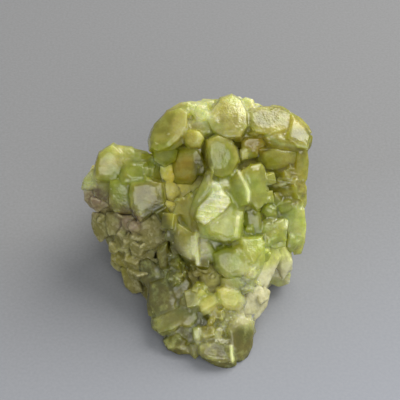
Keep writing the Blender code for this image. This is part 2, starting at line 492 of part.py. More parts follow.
def tidy(target):
    """Drop the chips that the cuts left loose, and clear slivers and needless edges."""
    mesh = bmesh.new()
    mesh.from_mesh(target.data)
    bmesh.ops.remove_doubles(mesh, verts=mesh.verts, dist=WELD * MM)
    islands = split_islands(mesh)
    largest = max(islands, key=len)
    extra = [v for island in islands if island is not largest for v in island]
    bmesh.ops.delete(mesh, geom=extra, context="VERTS")
    bmesh.ops.dissolve_limit(mesh, angle_limit=FLAT_ANGLE, verts=mesh.verts, edges=mesh.edges)
    bmesh.ops.triangulate(mesh, faces=mesh.faces)
    mesh.to_mesh(target.data)
    mesh.free()
    thin = target.modifiers.new("thin", "DECIMATE")
    thin.ratio = KEPT_SHARE


def split_islands(mesh):
    """The mesh's separate bodies, each a list of its vertices."""
    unseen = set(mesh.verts)
    islands = []
    while unseen:
        reached = [unseen.pop()]
        for vertex in reached:
            for edge in vertex.link_edges:
                other = edge.other_vert(vertex)
                if other in unseen:
                    unseen.remove(other)
                    reached.append(other)
        islands.append(reached)
    return islands


def cell_normal(h, k, l):
    """The outward normal of the crystal face with these Miller indices."""
    a = Vector((CELL_A, 0, 0))
    b = Vector((0, CELL_B, 0))
    c = Vector((CELL_C * math.cos(CELL_BETA), 0, CELL_C * math.sin(CELL_BETA)))
    return (h * b.cross(c) + k * c.cross(a) + l * a.cross(b)).normalized()


def habit(width, length, dice):
    """Corners of a free crystal of brazilianite's habit: a steep prism that ends in a wedge."""
    planes = []
    for h, k in ((1, 1), (1, -1), (-1, 1), (-1, -1)):
        planes.append((cell_normal(h, k, 0), width / 2 * dice.uniform(0.8, 1.15)))
    for h, k in ((1, 0), (-1, 0), (1, 1), (-1, -1)):
        planes.append((cell_normal(h, k, 1), length / 2 * dice.uniform(0.7, 1.0)))
    planes.append((Vector((0, 0, -1)), length / 2))
    return corners_between(planes)


def corners_between(planes):
    """The corners of the solid that these planes, each a normal and a distance, close in."""
    normals = np.array([normal for normal, _ in planes])
    distances = np.array([distance for _, distance in planes])
    corners = []
    for trio in combinations(range(len(planes)), 3):
        trio = list(trio)
        if abs(np.linalg.det(normals[trio])) > 1e-3:
            point = np.linalg.solve(normals[trio], distances[trio])
            if (normals @ point <= distances + 1e-6).all():
                corners.append(Vector(point))
    return corners


def broken_block(half, count, dice):
    """Corners of a broken block: random points on a ball, pushed out towards the block's corners."""
    points = []
    for _ in range(count):
        direction = Vector([dice.gauss(0, 1) for _ in range(3)]).normalized()
        squared = Vector([math.copysign(abs(part) ** BLOCKINESS, part) for part in direction])
        points.append(squared * Vector(half))
    return points


def scatter(target, count, dice):
    """Points spread over the target, away from the display face: places and outward normals."""
    mesh = bmesh.new()
    mesh.from_mesh(target.data)
    tree = BVHTree.FromBMesh(mesh)
    mesh.free()
    facing = from_display(0, 0, 1) - from_display(0, 0, 0)
    found = []
    for _ in range(count * SCATTER_TRIES):
        direction = Vector([dice.gauss(0, 1) for _ in range(3)]).normalized()
        aim = Vector((dice.uniform(-20, 20), dice.uniform(-25, 18), dice.uniform(3, 34)))
        place, normal, _, _ = tree.ray_cast((aim + direction * REACH) * MM, -direction)
        if place is None or normal.dot(facing) > DISPLAY_SIDE or place.z < 0.5 * MM:
            continue
        place = place / MM
        if all((place - other).length > GRAIN_SPACING for other, _ in found):
            found.append((place, normal))
        if len(found) == count:
            break
    return found


def finish(target, colour, roughness):
    """Give the object its own material."""
    material = bpy.data.materials.new(target.name)
    material.use_nodes = True
    shader = material.node_tree.nodes["Principled BSDF"]
    shader.inputs["Base Color"].default_value = (*colour, 1.0)
    shader.inputs["Roughness"].default_value = roughness
    shader.inputs["Metallic"].default_value = 0.0
    target.data.materials.clear()
    target.data.materials.append(material)


def cutters(seats):
    """The solids that clear a piece's neighbours and cut its base flat."""
    below = [(x, y, z) for x in (-REACH, REACH) for y in (-REACH, REACH) for z in (-REACH, 0)]
    return [add_solid("seat", corners, SEAT_GAP) for corners in seats] + [add_solid("below", below)]


def build_matrix(dice):
    """The matrix before its seats are cut."""
    matrix = add_solid("matrix", ROCK[0])
    lumps = [add_solid("lump", points) for points in ROCK[1:]]
    for middle, half in BLOCKS:
        corners = [Vector(middle) + p for p in broken_block(half, BLOCK_CORNERS, dice)]
        lumps.append(add_solid("lump", corners))
    lumps += [add_solid("lump", lump.solids(dice)[0]) for lump in LUMPS]
    combine(matrix, lumps, "UNION")
    grains = []
    for place, normal in scatter(matrix, GRAIN_COUNT, dice):
        size = dice.uniform(*GRAIN_SIZES)
        turn = Vector((0, 0, 1)).rotation_difference(normal)
        half = (size * 0.5, size * 0.4, size * 0.35)
        grains.append(add_solid("grain", [place - normal * size * 0.05 + turn @ p
                                          for p in broken_block(half, GRAIN_CORNERS, dice)]))
    combine(matrix, grains, "UNION")
    return matrix


def build_group(name, growths, seats, dice):
    """Crystals grown together, as one solid that clears the seats and adds its own to them."""
    solids = []
    for growth in growths:
        solids += growth.solids(dice)
    group = add_solid(name, solids[0])
    if len(solids) > 1:
        combine(group, [add_solid(name, corners) for corners in solids[1:]], "UNION")
    combine(group, cutters(seats), "DIFFERENCE")
    tidy(group)
    seats += solids
    return group


def main():
    """Build the cluster: each group of crystals clears the ones before it, and the matrix clears all."""
    clear_scene()
    dice = random.Random(SEED)
    seats = []
    for name, growths, colour in GROUPS:
        finish(build_group(name, growths, seats, dice), colour, CRYSTAL_ROUGHNESS)
    matrix = build_matrix(dice)
    combine(matrix, cutters(seats), "DIFFERENCE")
    tidy(matrix)
    finish(matrix, MATRIX_COLOUR, MATRIX_ROUGHNESS)


main()
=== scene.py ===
"""Brazilianite crystal cluster: the looks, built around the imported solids.

Every group of crystals, and the matrix, starts as a copy of its solid. Flat-faced crystals are laid
over its facets, small ones are strewn between them, and a voxel remesh knits them together, so that
edges are softly rounded. Growth steps and sugary grain are then pressed into the surface.
Lengths named in millimetres are turned to metres by MM.
"""

from __future__ import annotations

import logging
import math
import random
from dataclasses import dataclass, field
from enum import Enum

import bpy
import numpy as np
from mathutils import Matrix, Vector
from mathutils.bvhtree import BVHTree
from mathutils.kdtree import KDTree


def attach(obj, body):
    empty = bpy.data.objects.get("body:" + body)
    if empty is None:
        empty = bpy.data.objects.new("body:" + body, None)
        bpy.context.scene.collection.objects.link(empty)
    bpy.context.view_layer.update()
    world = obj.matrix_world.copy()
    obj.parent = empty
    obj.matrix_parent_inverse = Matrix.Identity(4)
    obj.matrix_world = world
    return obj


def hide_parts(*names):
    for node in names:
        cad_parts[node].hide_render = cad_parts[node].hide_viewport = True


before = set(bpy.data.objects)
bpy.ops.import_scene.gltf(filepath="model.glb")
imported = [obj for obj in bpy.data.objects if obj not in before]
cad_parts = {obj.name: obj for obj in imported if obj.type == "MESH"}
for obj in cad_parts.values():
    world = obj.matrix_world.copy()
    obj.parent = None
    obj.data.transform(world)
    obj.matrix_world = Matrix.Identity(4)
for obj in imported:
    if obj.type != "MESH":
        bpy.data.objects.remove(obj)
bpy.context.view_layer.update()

LOG = logging.getLogger("cluster")
MM = 0.001
TINY = 1e-12  # keeps an empty triangle's direction from dividing by nothing

# The display face leans back: it looks this far above the horizon, from the middle of the cluster.
DISPLAY_TILT = math.radians(42.0)
DISPLAY_CENTRE = Vector((0.0, 0.0, 0.020))
VIEW_DISTANCE = 0.320  # metres from there to the eye
PLANE_DEPTH = 12.0  # millimetres in front of the centre where a place on the face keeps its size
RIGHTWARD = Vector((1.0, 0.0, 0.0))
UPWARD = Vector((0.0, math.sin(DISPLAY_TILT), math.cos(DISPLAY_TILT)))
OUTWARD = Vector((0.0, -math.cos(DISPLAY_TILT), math.sin(DISPLAY_TILT)))


def linear(code: str) -> tuple[float, float, float, float]:
    """Turn an sRGB hex code into a linear colour.

    Args:
        code: the colour as "#RRGGBB".

    Returns:
        The linear red, green, blue and an alpha of one.
    """
    parts = [int(code[k : k + 2], 16) / 255 for k in (1, 3, 5)]
    lit = [p / 12.92 if p <= 0.04045 else ((p + 0.055) / 1.055) ** 2.4 for p in parts]
    return (*lit, 1.0)


class Tint(Enum):
    """The colours that the mineral takes, from clear growth to cloudy growth; some are darkened
    with painted shade, and one is whitened with a painted reflection.
    """

    OLIVE = "#D0C856"
    KHAKI = "#DAD680"
    WHITISH = "#ECECC0"
    GREEN = "#C8CE4E"
    FRESH = "#D6DE70"
    HONEY = "#CDB41E"
    # painted shade: deep olive darkened for the shade in hollows and gaps between crystals
    DARK = "#8A841C"
    WATER = "#DFE79E"
    MAUVE = "#85715A"
    SUGAR = "#CAC8A2"
    # drab olive-brown, darkened with painted shade for the shadowed lower left
    DRAB = "#7C7838"
    # pale olive of the foot, darkened with painted shade low down near the floor
    FOOT = "#9C9B60"
    # painted reflection: bluish white where the lozenge mirrors the light, with frost
    FROST = "#EAEEDC"
    STRAW = "#B2AB50"


@dataclass(frozen=True)
class Spot:
    """A place on the display face where the mineral has one tint.

    Attributes:
        line: one or more (right, up) places in millimetres; the spot lies along them.
        tint: its colour.
        cloud: how cloudy it is, from 0, clear, to 1, frosted.
        reach: for a local mark, how far it reaches from its line in millimetres.
    """

    line: tuple[tuple[float, float], ...]
    tint: Tint
    cloud: float = 0.2
    reach: float = 0.0


# For each tint, the middles of the crystals that have it: (right, up, cloud).
CRYSTAL_TINTS = {
    Tint.OLIVE: (
        (-10.4, 18.2, 0.2), (-8.8, 21.0, 0.2), (-1.8, 16.1, 0.4), (20.8, 19.2, 0.4),
        (22.1, 15.1, 0.2), (26.0, 20.8, 0.4), (12.7, 9.1, 0.2), (20.8, 10.4, 0.2),
        (-2.6, -7.8, 0.2), (22.1, 2.6, 0.2), (-26.0, 7.8, 0.2), (-6.5, -3.9, 0.2),
        (-5.2, 0.0, 0.2),
    ),
    Tint.GREEN: (
        (-9.4, 11.4, 0.2), (6.0, 11.2, 0.2), (9.2, 0.4, 0.2), (7.3, 5.7, 0.2), (6.5, -13.0, 0.2),
        (13.8, -5.2, 0.2), (-23.4, 6.5, 0.2), (-16.6, 7.3, 0.2), (-20.8, 3.9, 0.2),
    ),
    Tint.KHAKI: (
        (-5.2, 19.8, 0.5), (6.8, 24.4, 0.5), (6.8, 19.5, 0.2), (11.7, 12.2, 0.3),
        (-22.1, 11.7, 0.4), (2.3, -26.8, 0.5), (8.1, -25.7, 0.5),
    ),
    Tint.WHITISH: (
        # the first is a frosted chip on the crown, its white partly a painted highlight
        (0.5, 22.6, 0.7), (12.5, 25.5, 0.6), (4.4, 0.0, 0.6), (-0.8, -12.5, 0.6),
        (-29.1, 5.7, 0.7),
    ),
    Tint.STRAW: (
        (14.3, 20.8, 0.5), (19.5, 21.8, 0.5), (25.7, 16.6, 0.3), (-13.8, 1.3, 0.2),
    ),
    Tint.HONEY: (
        (-4.2, 8.3, 0.2), (13.5, 14.0, 0.2),
    ),
    # painted shade: these crystals sit in hollows and gaps, darkened as if in shade
    Tint.DARK: (
        (0.8, 8.6, 0.5), (-0.5, -17.7, 0.2), (-21.3, -16.1, 0.7), (-3.6, -34.6, 0.4),
        (1.6, -32.5, 0.5),
    ),
    Tint.WATER: (
        (2.2, -3.6, 0.7), (12.0, 3.6, 0.3), (24.2, -6.5, 0.6),
    ),
    Tint.FRESH: (
        (3.6, -7.2, 0.5), (0.5, 0.0, 0.2), (9.9, -6.5, 0.4), (14.3, 2.6, 0.2), (10.4, -16.1, 0.3),
        (18.2, -2.9, 0.2), (19.5, -8.6, 0.2), (17.7, -14.3, 0.5),
    ),
    Tint.SUGAR: (
        (20.3, -19.5, 0.4), (14.3, -20.8, 0.9), (13.0, -26.0, 0.8), (-0.8, -35.1, 0.4),
        (11.7, -29.9, 0.6),
    ),
    Tint.MAUVE: (
        (-27.0, 0.5, 0.6), (-18.2, -6.0, 0.8),
    ),
    # the lower left: drab olive-brown, darkened with painted shade
    Tint.DRAB: (
        (-24.7, -6.5, 0.8), (-19.5, -10.4, 0.9), (-13.5, -18.2, 0.4), (-15.6, -11.7, 0.6),
        (-9.1, -9.1, 0.3), (-7.8, -15.6, 0.3), (-10.4, -3.9, 0.3), (-10.4, -25.5, 0.4),
        (-5.2, -37.7, 0.5), (4.7, -39.5, 0.4), (10.9, -36.4, 0.3),
    ),
    # low on the foot: pale olive, darkened with painted shade
    Tint.FOOT: (
        (-7.8, -31.7, 0.4), (6.5, -32.5, 0.4), (-2.6, -28.6, 0.3),
    ),
}
GROWTH = tuple(
    Spot(((right, up),), tint, cloud)
    for tint, middles in CRYSTAL_TINTS.items()
    for right, up, cloud in middles
)

# Faces with fine growth lines: where they are, how strong they are, and how far they reach.
STREAKS = (
    Spot(((1.6, -4.0), (4.6, -0.8)), Tint.WATER, 1.0, 3.2),
    Spot(((-14.5, -1.0), (-10.2, -1.2)), Tint.WATER, 0.3, 1.4),
    Spot(((19.0, 4.0), (23.0, 4.5)), Tint.WATER, 0.6, 2.0),
    Spot(((-21.0, -7.5), (-18.0, -12.0)), Tint.WATER, 0.5, 2.5),
)

# White edges, cracks and frosted spots, with a painted glint and a painted reflection: where they
# are, and how far they reach.
MARKS = (
    Spot(((10.1, 7.5), (12.7, 2.1), (12.7, 0.0)), Tint.WHITISH, 0.8, 0.5),
    Spot(((9.9, -4.4), (9.3, -9.3)), Tint.WHITISH, 0.8, 0.6),
    Spot(((-0.9, -8.7), (-0.6, -16.4)), Tint.WHITISH, 0.8, 0.6),
    Spot(((8.2, -38.0), (8.5, -42.0)), Tint.WHITISH, 0.8, 0.4),
    Spot(((-12.2, 10.4), (-9.6, 8.8)), Tint.WATER, 0.5, 0.6),
    Spot(((17.2, 16.9), (20.8, 14.6), (27.8, 13.7)), Tint.WATER, 0.3, 0.3),
    # painted glint: a short white stroke where the ribs catch the light
    Spot(((19.5, 3.6), (22.1, 4.2)), Tint.WHITISH, 0.5, 0.35),
    # painted reflection: bluish white on the lozenge where it mirrors the light, over frosted white
    Spot(((4.2, 3.4), (4.6, 1.6)), Tint.FROST, 0.7, 1.5),
    Spot(((0.6, -1.6), (3.0, 0.4)), Tint.FROST, 0.6, 0.6),
)


def along_face(points: np.ndarray) -> tuple[np.ndarray, np.ndarray, np.ndarray]:
    """Measure how far points lie from the middle of the display face.

    Args:
        points: an (n, 3) array of places in metres.

    Returns:
        How far right, how far up and how far out each one is, in millimetres.
    """
    sine, cosine = math.sin(DISPLAY_TILT), math.cos(DISPLAY_TILT)
    from_centre = (points - np.array(DISPLAY_CENTRE)) / MM
    up = from_centre[:, 1] * sine + from_centre[:, 2] * cosine
    out = from_centre[:, 2] * sine - from_centre[:, 1] * cosine
    return from_centre[:, 0], up, out


def place_on_face(points: np.ndarray) -> np.ndarray:
    """Find where points are seen on the display face, as it is looked at squarely.

    Args:
        points: an (n, 3) array of places in metres.

    Returns:
        An (n, 2) array of right and up, in millimetres.
    """
    right, up, out = along_face(points)
    distance = VIEW_DISTANCE / MM
    size = (distance - PLANE_DEPTH) / (distance - out)
    return np.stack([right * size, up * size], axis=1)


def distance_to_line(places: np.ndarray, line: tuple[tuple[float, float], ...]) -> np.ndarray:
    """Measure how far places are from a line of one or more points.

    Args:
        places: an (n, 2) array.
        line: the points of the line.

    Returns:
        The n distances.
    """
    starts = [np.array(p) for p in line]
    if len(starts) == 1:
        return np.linalg.norm(places - starts[0], axis=1)
    found = np.full(len(places), np.inf)
    for start, end in zip(starts, starts[1:]):
        along = np.clip((places - start) @ (end - start) / np.dot(end - start, end - start), 0, 1)
        near = np.linalg.norm(places - start - along[:, None] * (end - start), axis=1)
        found = np.minimum(found, near)
    return found


def add_node(
    tree: bpy.types.NodeTree,
    kind: str,
    inputs: dict[int | str, object] | None = None,
    **settings: object,
) -> bpy.types.Node:
    """Add a node with its settings, and set or link its inputs.

    Args:
        tree: the material's node tree.
        kind: the node's type.
        inputs: for each input, by name or number, a value or the output that feeds it.
        settings: the node's own settings.

    Returns:
        The new node.
    """
    made = tree.nodes.new(kind)
    for name, value in settings.items():
        setattr(made, name, value)
    for name, value in (inputs or {}).items():
        if isinstance(value, bpy.types.NodeSocket):
            tree.links.new(value, made.inputs[name])
        else:
            made.inputs[name].default_value = value
    return made


def lay_colour(
    tree: bpy.types.NodeTree,
    under: object,
    over: str,
    mask: bpy.types.NodeSocket,
    levels: tuple[float, float, float, float],
    how: str = "MIX",
    strength: bpy.types.NodeSocket | None = None,
) -> bpy.types.NodeSocket:
    """Lay a colour over another one, as strongly as a mask says.

    Args:
        tree: the material's node tree.
        under: the colour below, or the output that gives it.
        over: the colour above, as an sRGB hex code.
        mask: the output that gives the mask.
        levels: two values of the mask, and how much of the colour shows at each.
        how: the way that the two colours are blended.
        strength: an output that weakens the mask, if there is one.

    Returns:
        The output with the blended colour.
    """
    share = add_node(
        tree, "ShaderNodeMapRange", {0: mask, **dict(enumerate(levels, start=1))}
    ).outputs[0]
    if strength is not None:
        share = add_node(
            tree, "ShaderNodeMath", {0: share, 1: strength}, operation="MULTIPLY"
        ).outputs[0]
    return add_node(
        tree,
        "ShaderNodeMix",
        {0: share, 6: under, 7: linear(over)},
        data_type="RGBA",
        blend_type=how,
    ).outputs[2]


def new_material(name: str) -> tuple[bpy.types.Material, bpy.types.NodeTree, bpy.types.Node]:
    """Make a material that has nodes.

    Args:
        name: its name.

    Returns:
        The material, its node tree and its output node.
    """
    material = bpy.data.materials.new(name)
    material.use_nodes = True
    tree = material.node_tree
    tree.nodes.clear()
    output = tree.nodes.new("ShaderNodeOutputMaterial")
    return material, tree, output


@dataclass(frozen=True)
class Brazilianite:
    """Brazilianite as it grew from hot water: glassy faces over a cloudy inside.

    Its light comes from within, so thick places are deep yellow-green and thin edges are pale.

    Attributes:
        name: the material's name.
        clear: how much light passes straight through where it isn't cloudy.
        smooth: the roughness of a clean face.
        cloud_size: the size of the cloudy patches inside it, in millimetres.
        glow: how far light wanders under its surface, in millimetres.
        zone_size: the size of the broad changes of colour as it grew, in millimetres.
        veil_size: the size of the thin white veils of tiny bubbles, in millimetres.
        line_size: the width of a growth line in millimetres, coarser than real so that it shows.
        pit_size: the size of the etch pits where it is cloudy, in millimetres.
        thickness: how thick it has to be for its full colour, in millimetres.
    """

    name: str
    clear: float = 0.65
    smooth: float = 0.10
    cloud_size: float = 2.4
    glow: float = 9.0
    zone_size: float = 5.0
    veil_size: float = 1.5
    line_size: float = 1.0
    pit_size: float = 0.55
    thickness: float = 2.0

    def make(self) -> bpy.types.Material:
        """Build the material.

        Returns:
            The material.
        """
        material, tree, output = new_material(self.name)
        coordinates = add_node(tree, "ShaderNodeTexCoord").outputs["Object"]
        grown = add_node(
            tree, "ShaderNodeAttribute", attribute_type="GEOMETRY", attribute_name="growth"
        )
        cloud = grown.outputs["Alpha"]
        patches = add_node(
            tree,
            "ShaderNodeTexNoise",
            {
                "Vector": coordinates,
                "Scale": 1 / (self.cloud_size * MM),
                "Detail": 5.0,
                "Roughness": 0.6,
            },
        ).outputs["Fac"]
        zones = add_node(
            tree,
            "ShaderNodeTexNoise",
            {"Vector": coordinates, "Scale": 1 / (self.zone_size * MM), "Detail": 3.0},
        ).outputs["Fac"]
        veils = add_node(
            tree,
            "ShaderNodeTexNoise",
            {
                "Vector": coordinates,
                "Scale": 1 / (self.veil_size * MM),
                "Detail": 6.0,
                "Distortion": 1.2,
            },
            noise_type="RIDGED_MULTIFRACTAL",
        ).outputs["Fac"]
        haze = add_node(
            tree, "ShaderNodeMapRange", {0: cloud, 1: 0.1, 2: 0.8, 3: 0.35, 4: 1.0}
        ).outputs[0]
        thick = add_node(
            tree,
            "ShaderNodeAmbientOcclusion",
            {"Distance": self.thickness * MM},
            samples=4,
            inside=True,
            only_local=True,
        ).outputs["AO"]
        painted_edge_and_crease_light = add_node(tree, "ShaderNodeNewGeometry").outputs["Pointiness"]
        lined = self.growth_lines(tree, coordinates)
        # Zones and patches darken it, milk and veils whiten it, and thick places deepen it; sharp
        # edges get a painted highlight, creases get painted light that hides their shade, and
        # growth lines whiten it.
        colour = grown.outputs["Color"]
        for over, mask, levels, how, strength in (
            ("#BCE06A", zones, (0.42, 0.6, 0.0, 0.4), "MULTIPLY", None),
            ("#B4AA3C", patches, (0.35, 0.6, 0.42, 0.0), "MULTIPLY", None),
            (Tint.WATER.value, patches, (0.5, 0.72, 0.0, 0.6), "MIX", haze),
            (Tint.WHITISH.value, veils, (0.7, 1.2, 0.0, 0.9), "MIX", haze),
            ("#B9B23C", thick, (0.45, 1.0, 0.0, 0.25), "MULTIPLY", None),
            # painted highlight on sharp edges, then painted light that pales the creases to hide
            # their shade
            (Tint.WHITISH.value, painted_edge_and_crease_light, (0.53, 0.60, 0.0, 0.6), "MIX", None),
            (Tint.WATER.value, painted_edge_and_crease_light, (0.485, 0.42, 0.0, 0.35), "MIX", None),
            (Tint.WHITISH.value, lined, (0.0, 1.0, 0.0, 0.6), "MIX", None),
        ):
            colour = lay_colour(tree, colour, over, mask, levels, how, strength)
        pits = add_node(
            tree, "ShaderNodeTexVoronoi", {"Vector": coordinates, "Scale": 1 / (self.pit_size * MM)}
        ).outputs["Distance"]
        broken = add_node(tree, "ShaderNodeMath", {0: pits, 1: cloud}, operation="MULTIPLY")
        height = add_node(
            tree, "ShaderNodeMath", {0: broken.outputs[0], 1: lined}, operation="ADD"
        ).outputs[0]
        bump = add_node(
            tree, "ShaderNodeBump", {"Strength": 0.7, "Distance": 0.25 * MM, "Height": height}
        )
        roughness, passing = (
            add_node(
                tree, "ShaderNodeMapRange", {0: cloud, 1: 0.0, 2: 1.0, 3: clean, 4: frosted}
            ).outputs[0]
            for clean, frosted in ((self.smooth, 0.35), (self.clear, 0.05))
        )
        shader = add_node(
            tree,
            "ShaderNodeBsdfPrincipled",
            {
                "Base Color": colour,
                "Roughness": roughness,
                "IOR": 1.61,
                "Normal": bump.outputs[0],
                "Transmission Weight": passing,
                "Subsurface Weight": 1.0,
                "Subsurface Radius": (1.0, 0.9, 0.16),
                "Subsurface Scale": self.glow * MM,
                "Specular IOR Level": 0.5,
            },
        )
        tree.links.new(shader.outputs[0], output.inputs["Surface"])
        body = add_node(
            tree, "ShaderNodeVolumeAbsorption", {"Color": linear("#DEE06E"), "Density": 170.0}
        )
        tree.links.new(body.outputs[0], output.inputs["Volume"])
        return material

    def growth_lines(
        self, tree: bpy.types.NodeTree, coordinates: bpy.types.NodeSocket
    ) -> bpy.types.NodeSocket:
        """Draw fine upright growth lines where the "lines" attribute asks for them.

        Args:
            tree: the material's node tree.
            coordinates: the output that gives the place on the piece.

        Returns:
            The output with the lines' strength.
        """
        # The pattern is long one way and narrow the other, so its spots are drawn out into lines.
        rightwards, upwards = (
            add_node(
                tree, "ShaderNodeVectorMath", {0: coordinates, 1: way}, operation="DOT_PRODUCT"
            ).outputs["Value"]
            for way in ((0.06, 0.0, 0.0), tuple(UPWARD + 0.15 * RIGHTWARD))
        )
        stretched = add_node(tree, "ShaderNodeCombineXYZ", {0: rightwards, 1: upwards}).outputs[0]
        streaks = add_node(
            tree,
            "ShaderNodeTexNoise",
            {"Vector": stretched, "Scale": 1 / (self.line_size * MM), "Detail": 2.0},
        ).outputs["Fac"]
        sharp = add_node(
            tree, "ShaderNodeMapRange", {0: streaks, 1: 0.48, 2: 0.60, 3: 0.0, 4: 1.0}
        ).outputs[0]
        lines = add_node(
            tree, "ShaderNodeAttribute", attribute_type="GEOMETRY", attribute_name="lines"
        ).outputs["Fac"]
        return add_node(
            tree, "ShaderNodeMath", {0: sharp, 1: lines}, operation="MULTIPLY"
        ).outputs[0]


@dataclass(frozen=True)
class GranularMatrix:
    """Fine-grained feldspar, mica and quartz, broken: dull and sugary, stained in patches.

    Attributes:
        name: the material's name.
        grit: the width of a grain in millimetres.
        stain: the size of the stained patches in millimetres.
    """

    name: str = "granular_matrix"
    grit: float = 0.7
    stain: float = 5.0

    def make(self) -> bpy.types.Material:
        """Build the material.

        Returns:
            The material.
        """
        material, tree, output = new_material(self.name)
        coordinates = add_node(tree, "ShaderNodeTexCoord").outputs["Object"]
        grown = add_node(
            tree, "ShaderNodeAttribute", attribute_type="GEOMETRY", attribute_name="growth"
        )
        grains = add_node(
            tree, "ShaderNodeTexVoronoi", {"Vector": coordinates, "Scale": 1 / (self.grit * MM)}
        )
        stains = add_node(
            tree,
            "ShaderNodeTexNoise",
            {
                "Vector": coordinates,
                "Scale": 1 / (self.stain * MM),
                "Detail": 6.0,
                "Roughness": 0.65,
            },
        ).outputs["Fac"]
        flecks = add_node(tree, "ShaderNodeSeparateColor", {0: grains.outputs["Color"]}).outputs[0]
        painted_edge_and_crease_light = add_node(tree, "ShaderNodeNewGeometry").outputs["Pointiness"]
        # Drab stains and pale single grains, then a painted highlight on sharp edges and painted
        # shade in the hollows.
        colour = grown.outputs["Color"]
        for over, mask, levels, how in (
            ("#7E763E", stains, (0.38, 0.6, 0.6, 0.0), "MIX"),
            ("#BEB98C", flecks, (0.6, 1.0, 0.0, 0.35), "MIX"),
            # painted highlight on sharp edges, and painted shade darkening the hollows
            ("#D6D2B0", painted_edge_and_crease_light, (0.51, 0.58, 0.0, 0.25), "MIX"),
            ("#8A8350", painted_edge_and_crease_light, (0.49, 0.43, 0.0, 0.8), "MULTIPLY"),
        ):
            colour = lay_colour(tree, colour, over, mask, levels, how)
        bump = add_node(
            tree,
            "ShaderNodeBump",
            {"Strength": 0.6, "Distance": 0.2 * MM, "Height": grains.outputs["Distance"]},
        )
        roughness = add_node(
            tree, "ShaderNodeMapRange", {0: flecks, 1: 0.0, 2: 1.0, 3: 0.75, 4: 0.4}
        )
        shader = add_node(
            tree,
            "ShaderNodeBsdfPrincipled",
            {
                "Base Color": colour,
                "Roughness": roughness.outputs[0],
                "IOR": 1.55,
                "Normal": bump.outputs[0],
                "Subsurface Weight": 0.6,
                "Subsurface Radius": (1.0, 0.9, 0.5),
                "Subsurface Scale": 2.5 * MM,
            },
        )
        tree.links.new(shader.outputs[0], output.inputs["Surface"])
        return material


@dataclass(frozen=True)
class PaperSheet:
    """Matt background paper, rolled: an even grey with a faint tooth, under painted light that
    makes it paler and bluer towards the front.

    Attributes:
        name: the material's name.
        tooth: the size of the paper's tooth in millimetres.
    """

    name: str = "background_paper"
    tooth: float = 0.8

    def make(self) -> bpy.types.Material:
        """Build the material.

        Returns:
            The material.
        """
        material, tree, output = new_material(self.name)
        coordinates = add_node(tree, "ShaderNodeTexCoord").outputs["Object"]
        tooth = add_node(
            tree,
            "ShaderNodeTexNoise",
            {"Vector": coordinates, "Scale": 1 / (self.tooth * MM), "Detail": 3.0},
        ).outputs["Fac"]
        # painted light: the paper grows paler and bluer towards the front
        painted_light_towards_front = add_node(
            tree,
            "ShaderNodeVectorMath",
            {0: coordinates, 1: (0.3, -0.95, 0.0)},
            operation="DOT_PRODUCT",
        ).outputs["Value"]
        painted_light_ground = lay_colour(
            tree, linear("#7C7D7F"), "#8F939D", painted_light_towards_front, (-0.02, 0.09, 0.0, 1.0)
        )
        colour = lay_colour(tree, painted_light_ground, "#A4A6AA", tooth, (0.35, 0.65, 0.0, 0.12))
        bump = add_node(
            tree, "ShaderNodeBump", {"Strength": 0.15, "Distance": 0.1 * MM, "Height": tooth}
        )
        shader = add_node(
            tree,
            "ShaderNodeBsdfPrincipled",
            {"Base Color": colour, "Roughness": 0.9, "Normal": bump.outputs[0]},
        )
        tree.links.new(shader.outputs[0], output.inputs["Surface"])
        return material


def select_only(piece: bpy.types.Object) -> None:
    """Select one object and make it active.

    Args:
        piece: the object.
    """
    bpy.ops.object.select_all(action="DESELECT")
    piece.select_set(True)
    bpy.context.view_layer.objects.active = piece


def apply_modifier(piece: bpy.types.Object, kind: str, **settings: object) -> None:
    """Add a modifier to a piece and apply it.

    Args:
        piece: the object.
        kind: the modifier's type.
        settings: the modifier's settings.
    """
    select_only(piece)
    bpy.ops.object.modifier_add(type=kind)
    change = piece.modifiers[-1]
    for name, value in settings.items():
        setattr(change, name, value)
    bpy.ops.object.modifier_apply(modifier=change.name)


def copy_of_solid(node: str, name: str) -> bpy.types.Object:
    """Copy a CAD solid's mesh into a new object with its doubles merged.

    Args:
        node: the CAD node.
        name: the new object's name.

    Returns:
        The new object.
    """
    piece = bpy.data.objects.new(name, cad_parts[node].data.copy())
    piece.data.materials.clear()
    bpy.context.scene.collection.objects.link(piece)
    select_only(piece)
    bpy.ops.object.mode_set(mode="EDIT")
    bpy.ops.mesh.select_all(action="SELECT")
    bpy.ops.mesh.remove_doubles(threshold=0.01 * MM)
    bpy.ops.mesh.normals_make_consistent(inside=False)
    bpy.ops.object.mode_set(mode="OBJECT")
    return piece


def vertex_places(piece: bpy.types.Object) -> np.ndarray:
    """Read the places of a piece's vertices.

    Args:
        piece: the object.

    Returns:
        An (n, 3) array, in metres.
    """
    flat = np.zeros(len(piece.data.vertices) * 3, np.float32)
    piece.data.vertices.foreach_get("co", flat)
    return flat.reshape(-1, 3).astype(float)


TONE = 0.35  # how much of a strewn crystal's own tone shows
TONE_FADE = 0.4  # the share of its reach over which that tone dies away
PALE_CLOUD = 0.6  # how cloudy the palest strewn crystal is
DARKENED = (0.72, 0.70, 0.40, 0.5)  # what the darkest leaves of red, green, blue and cloudiness


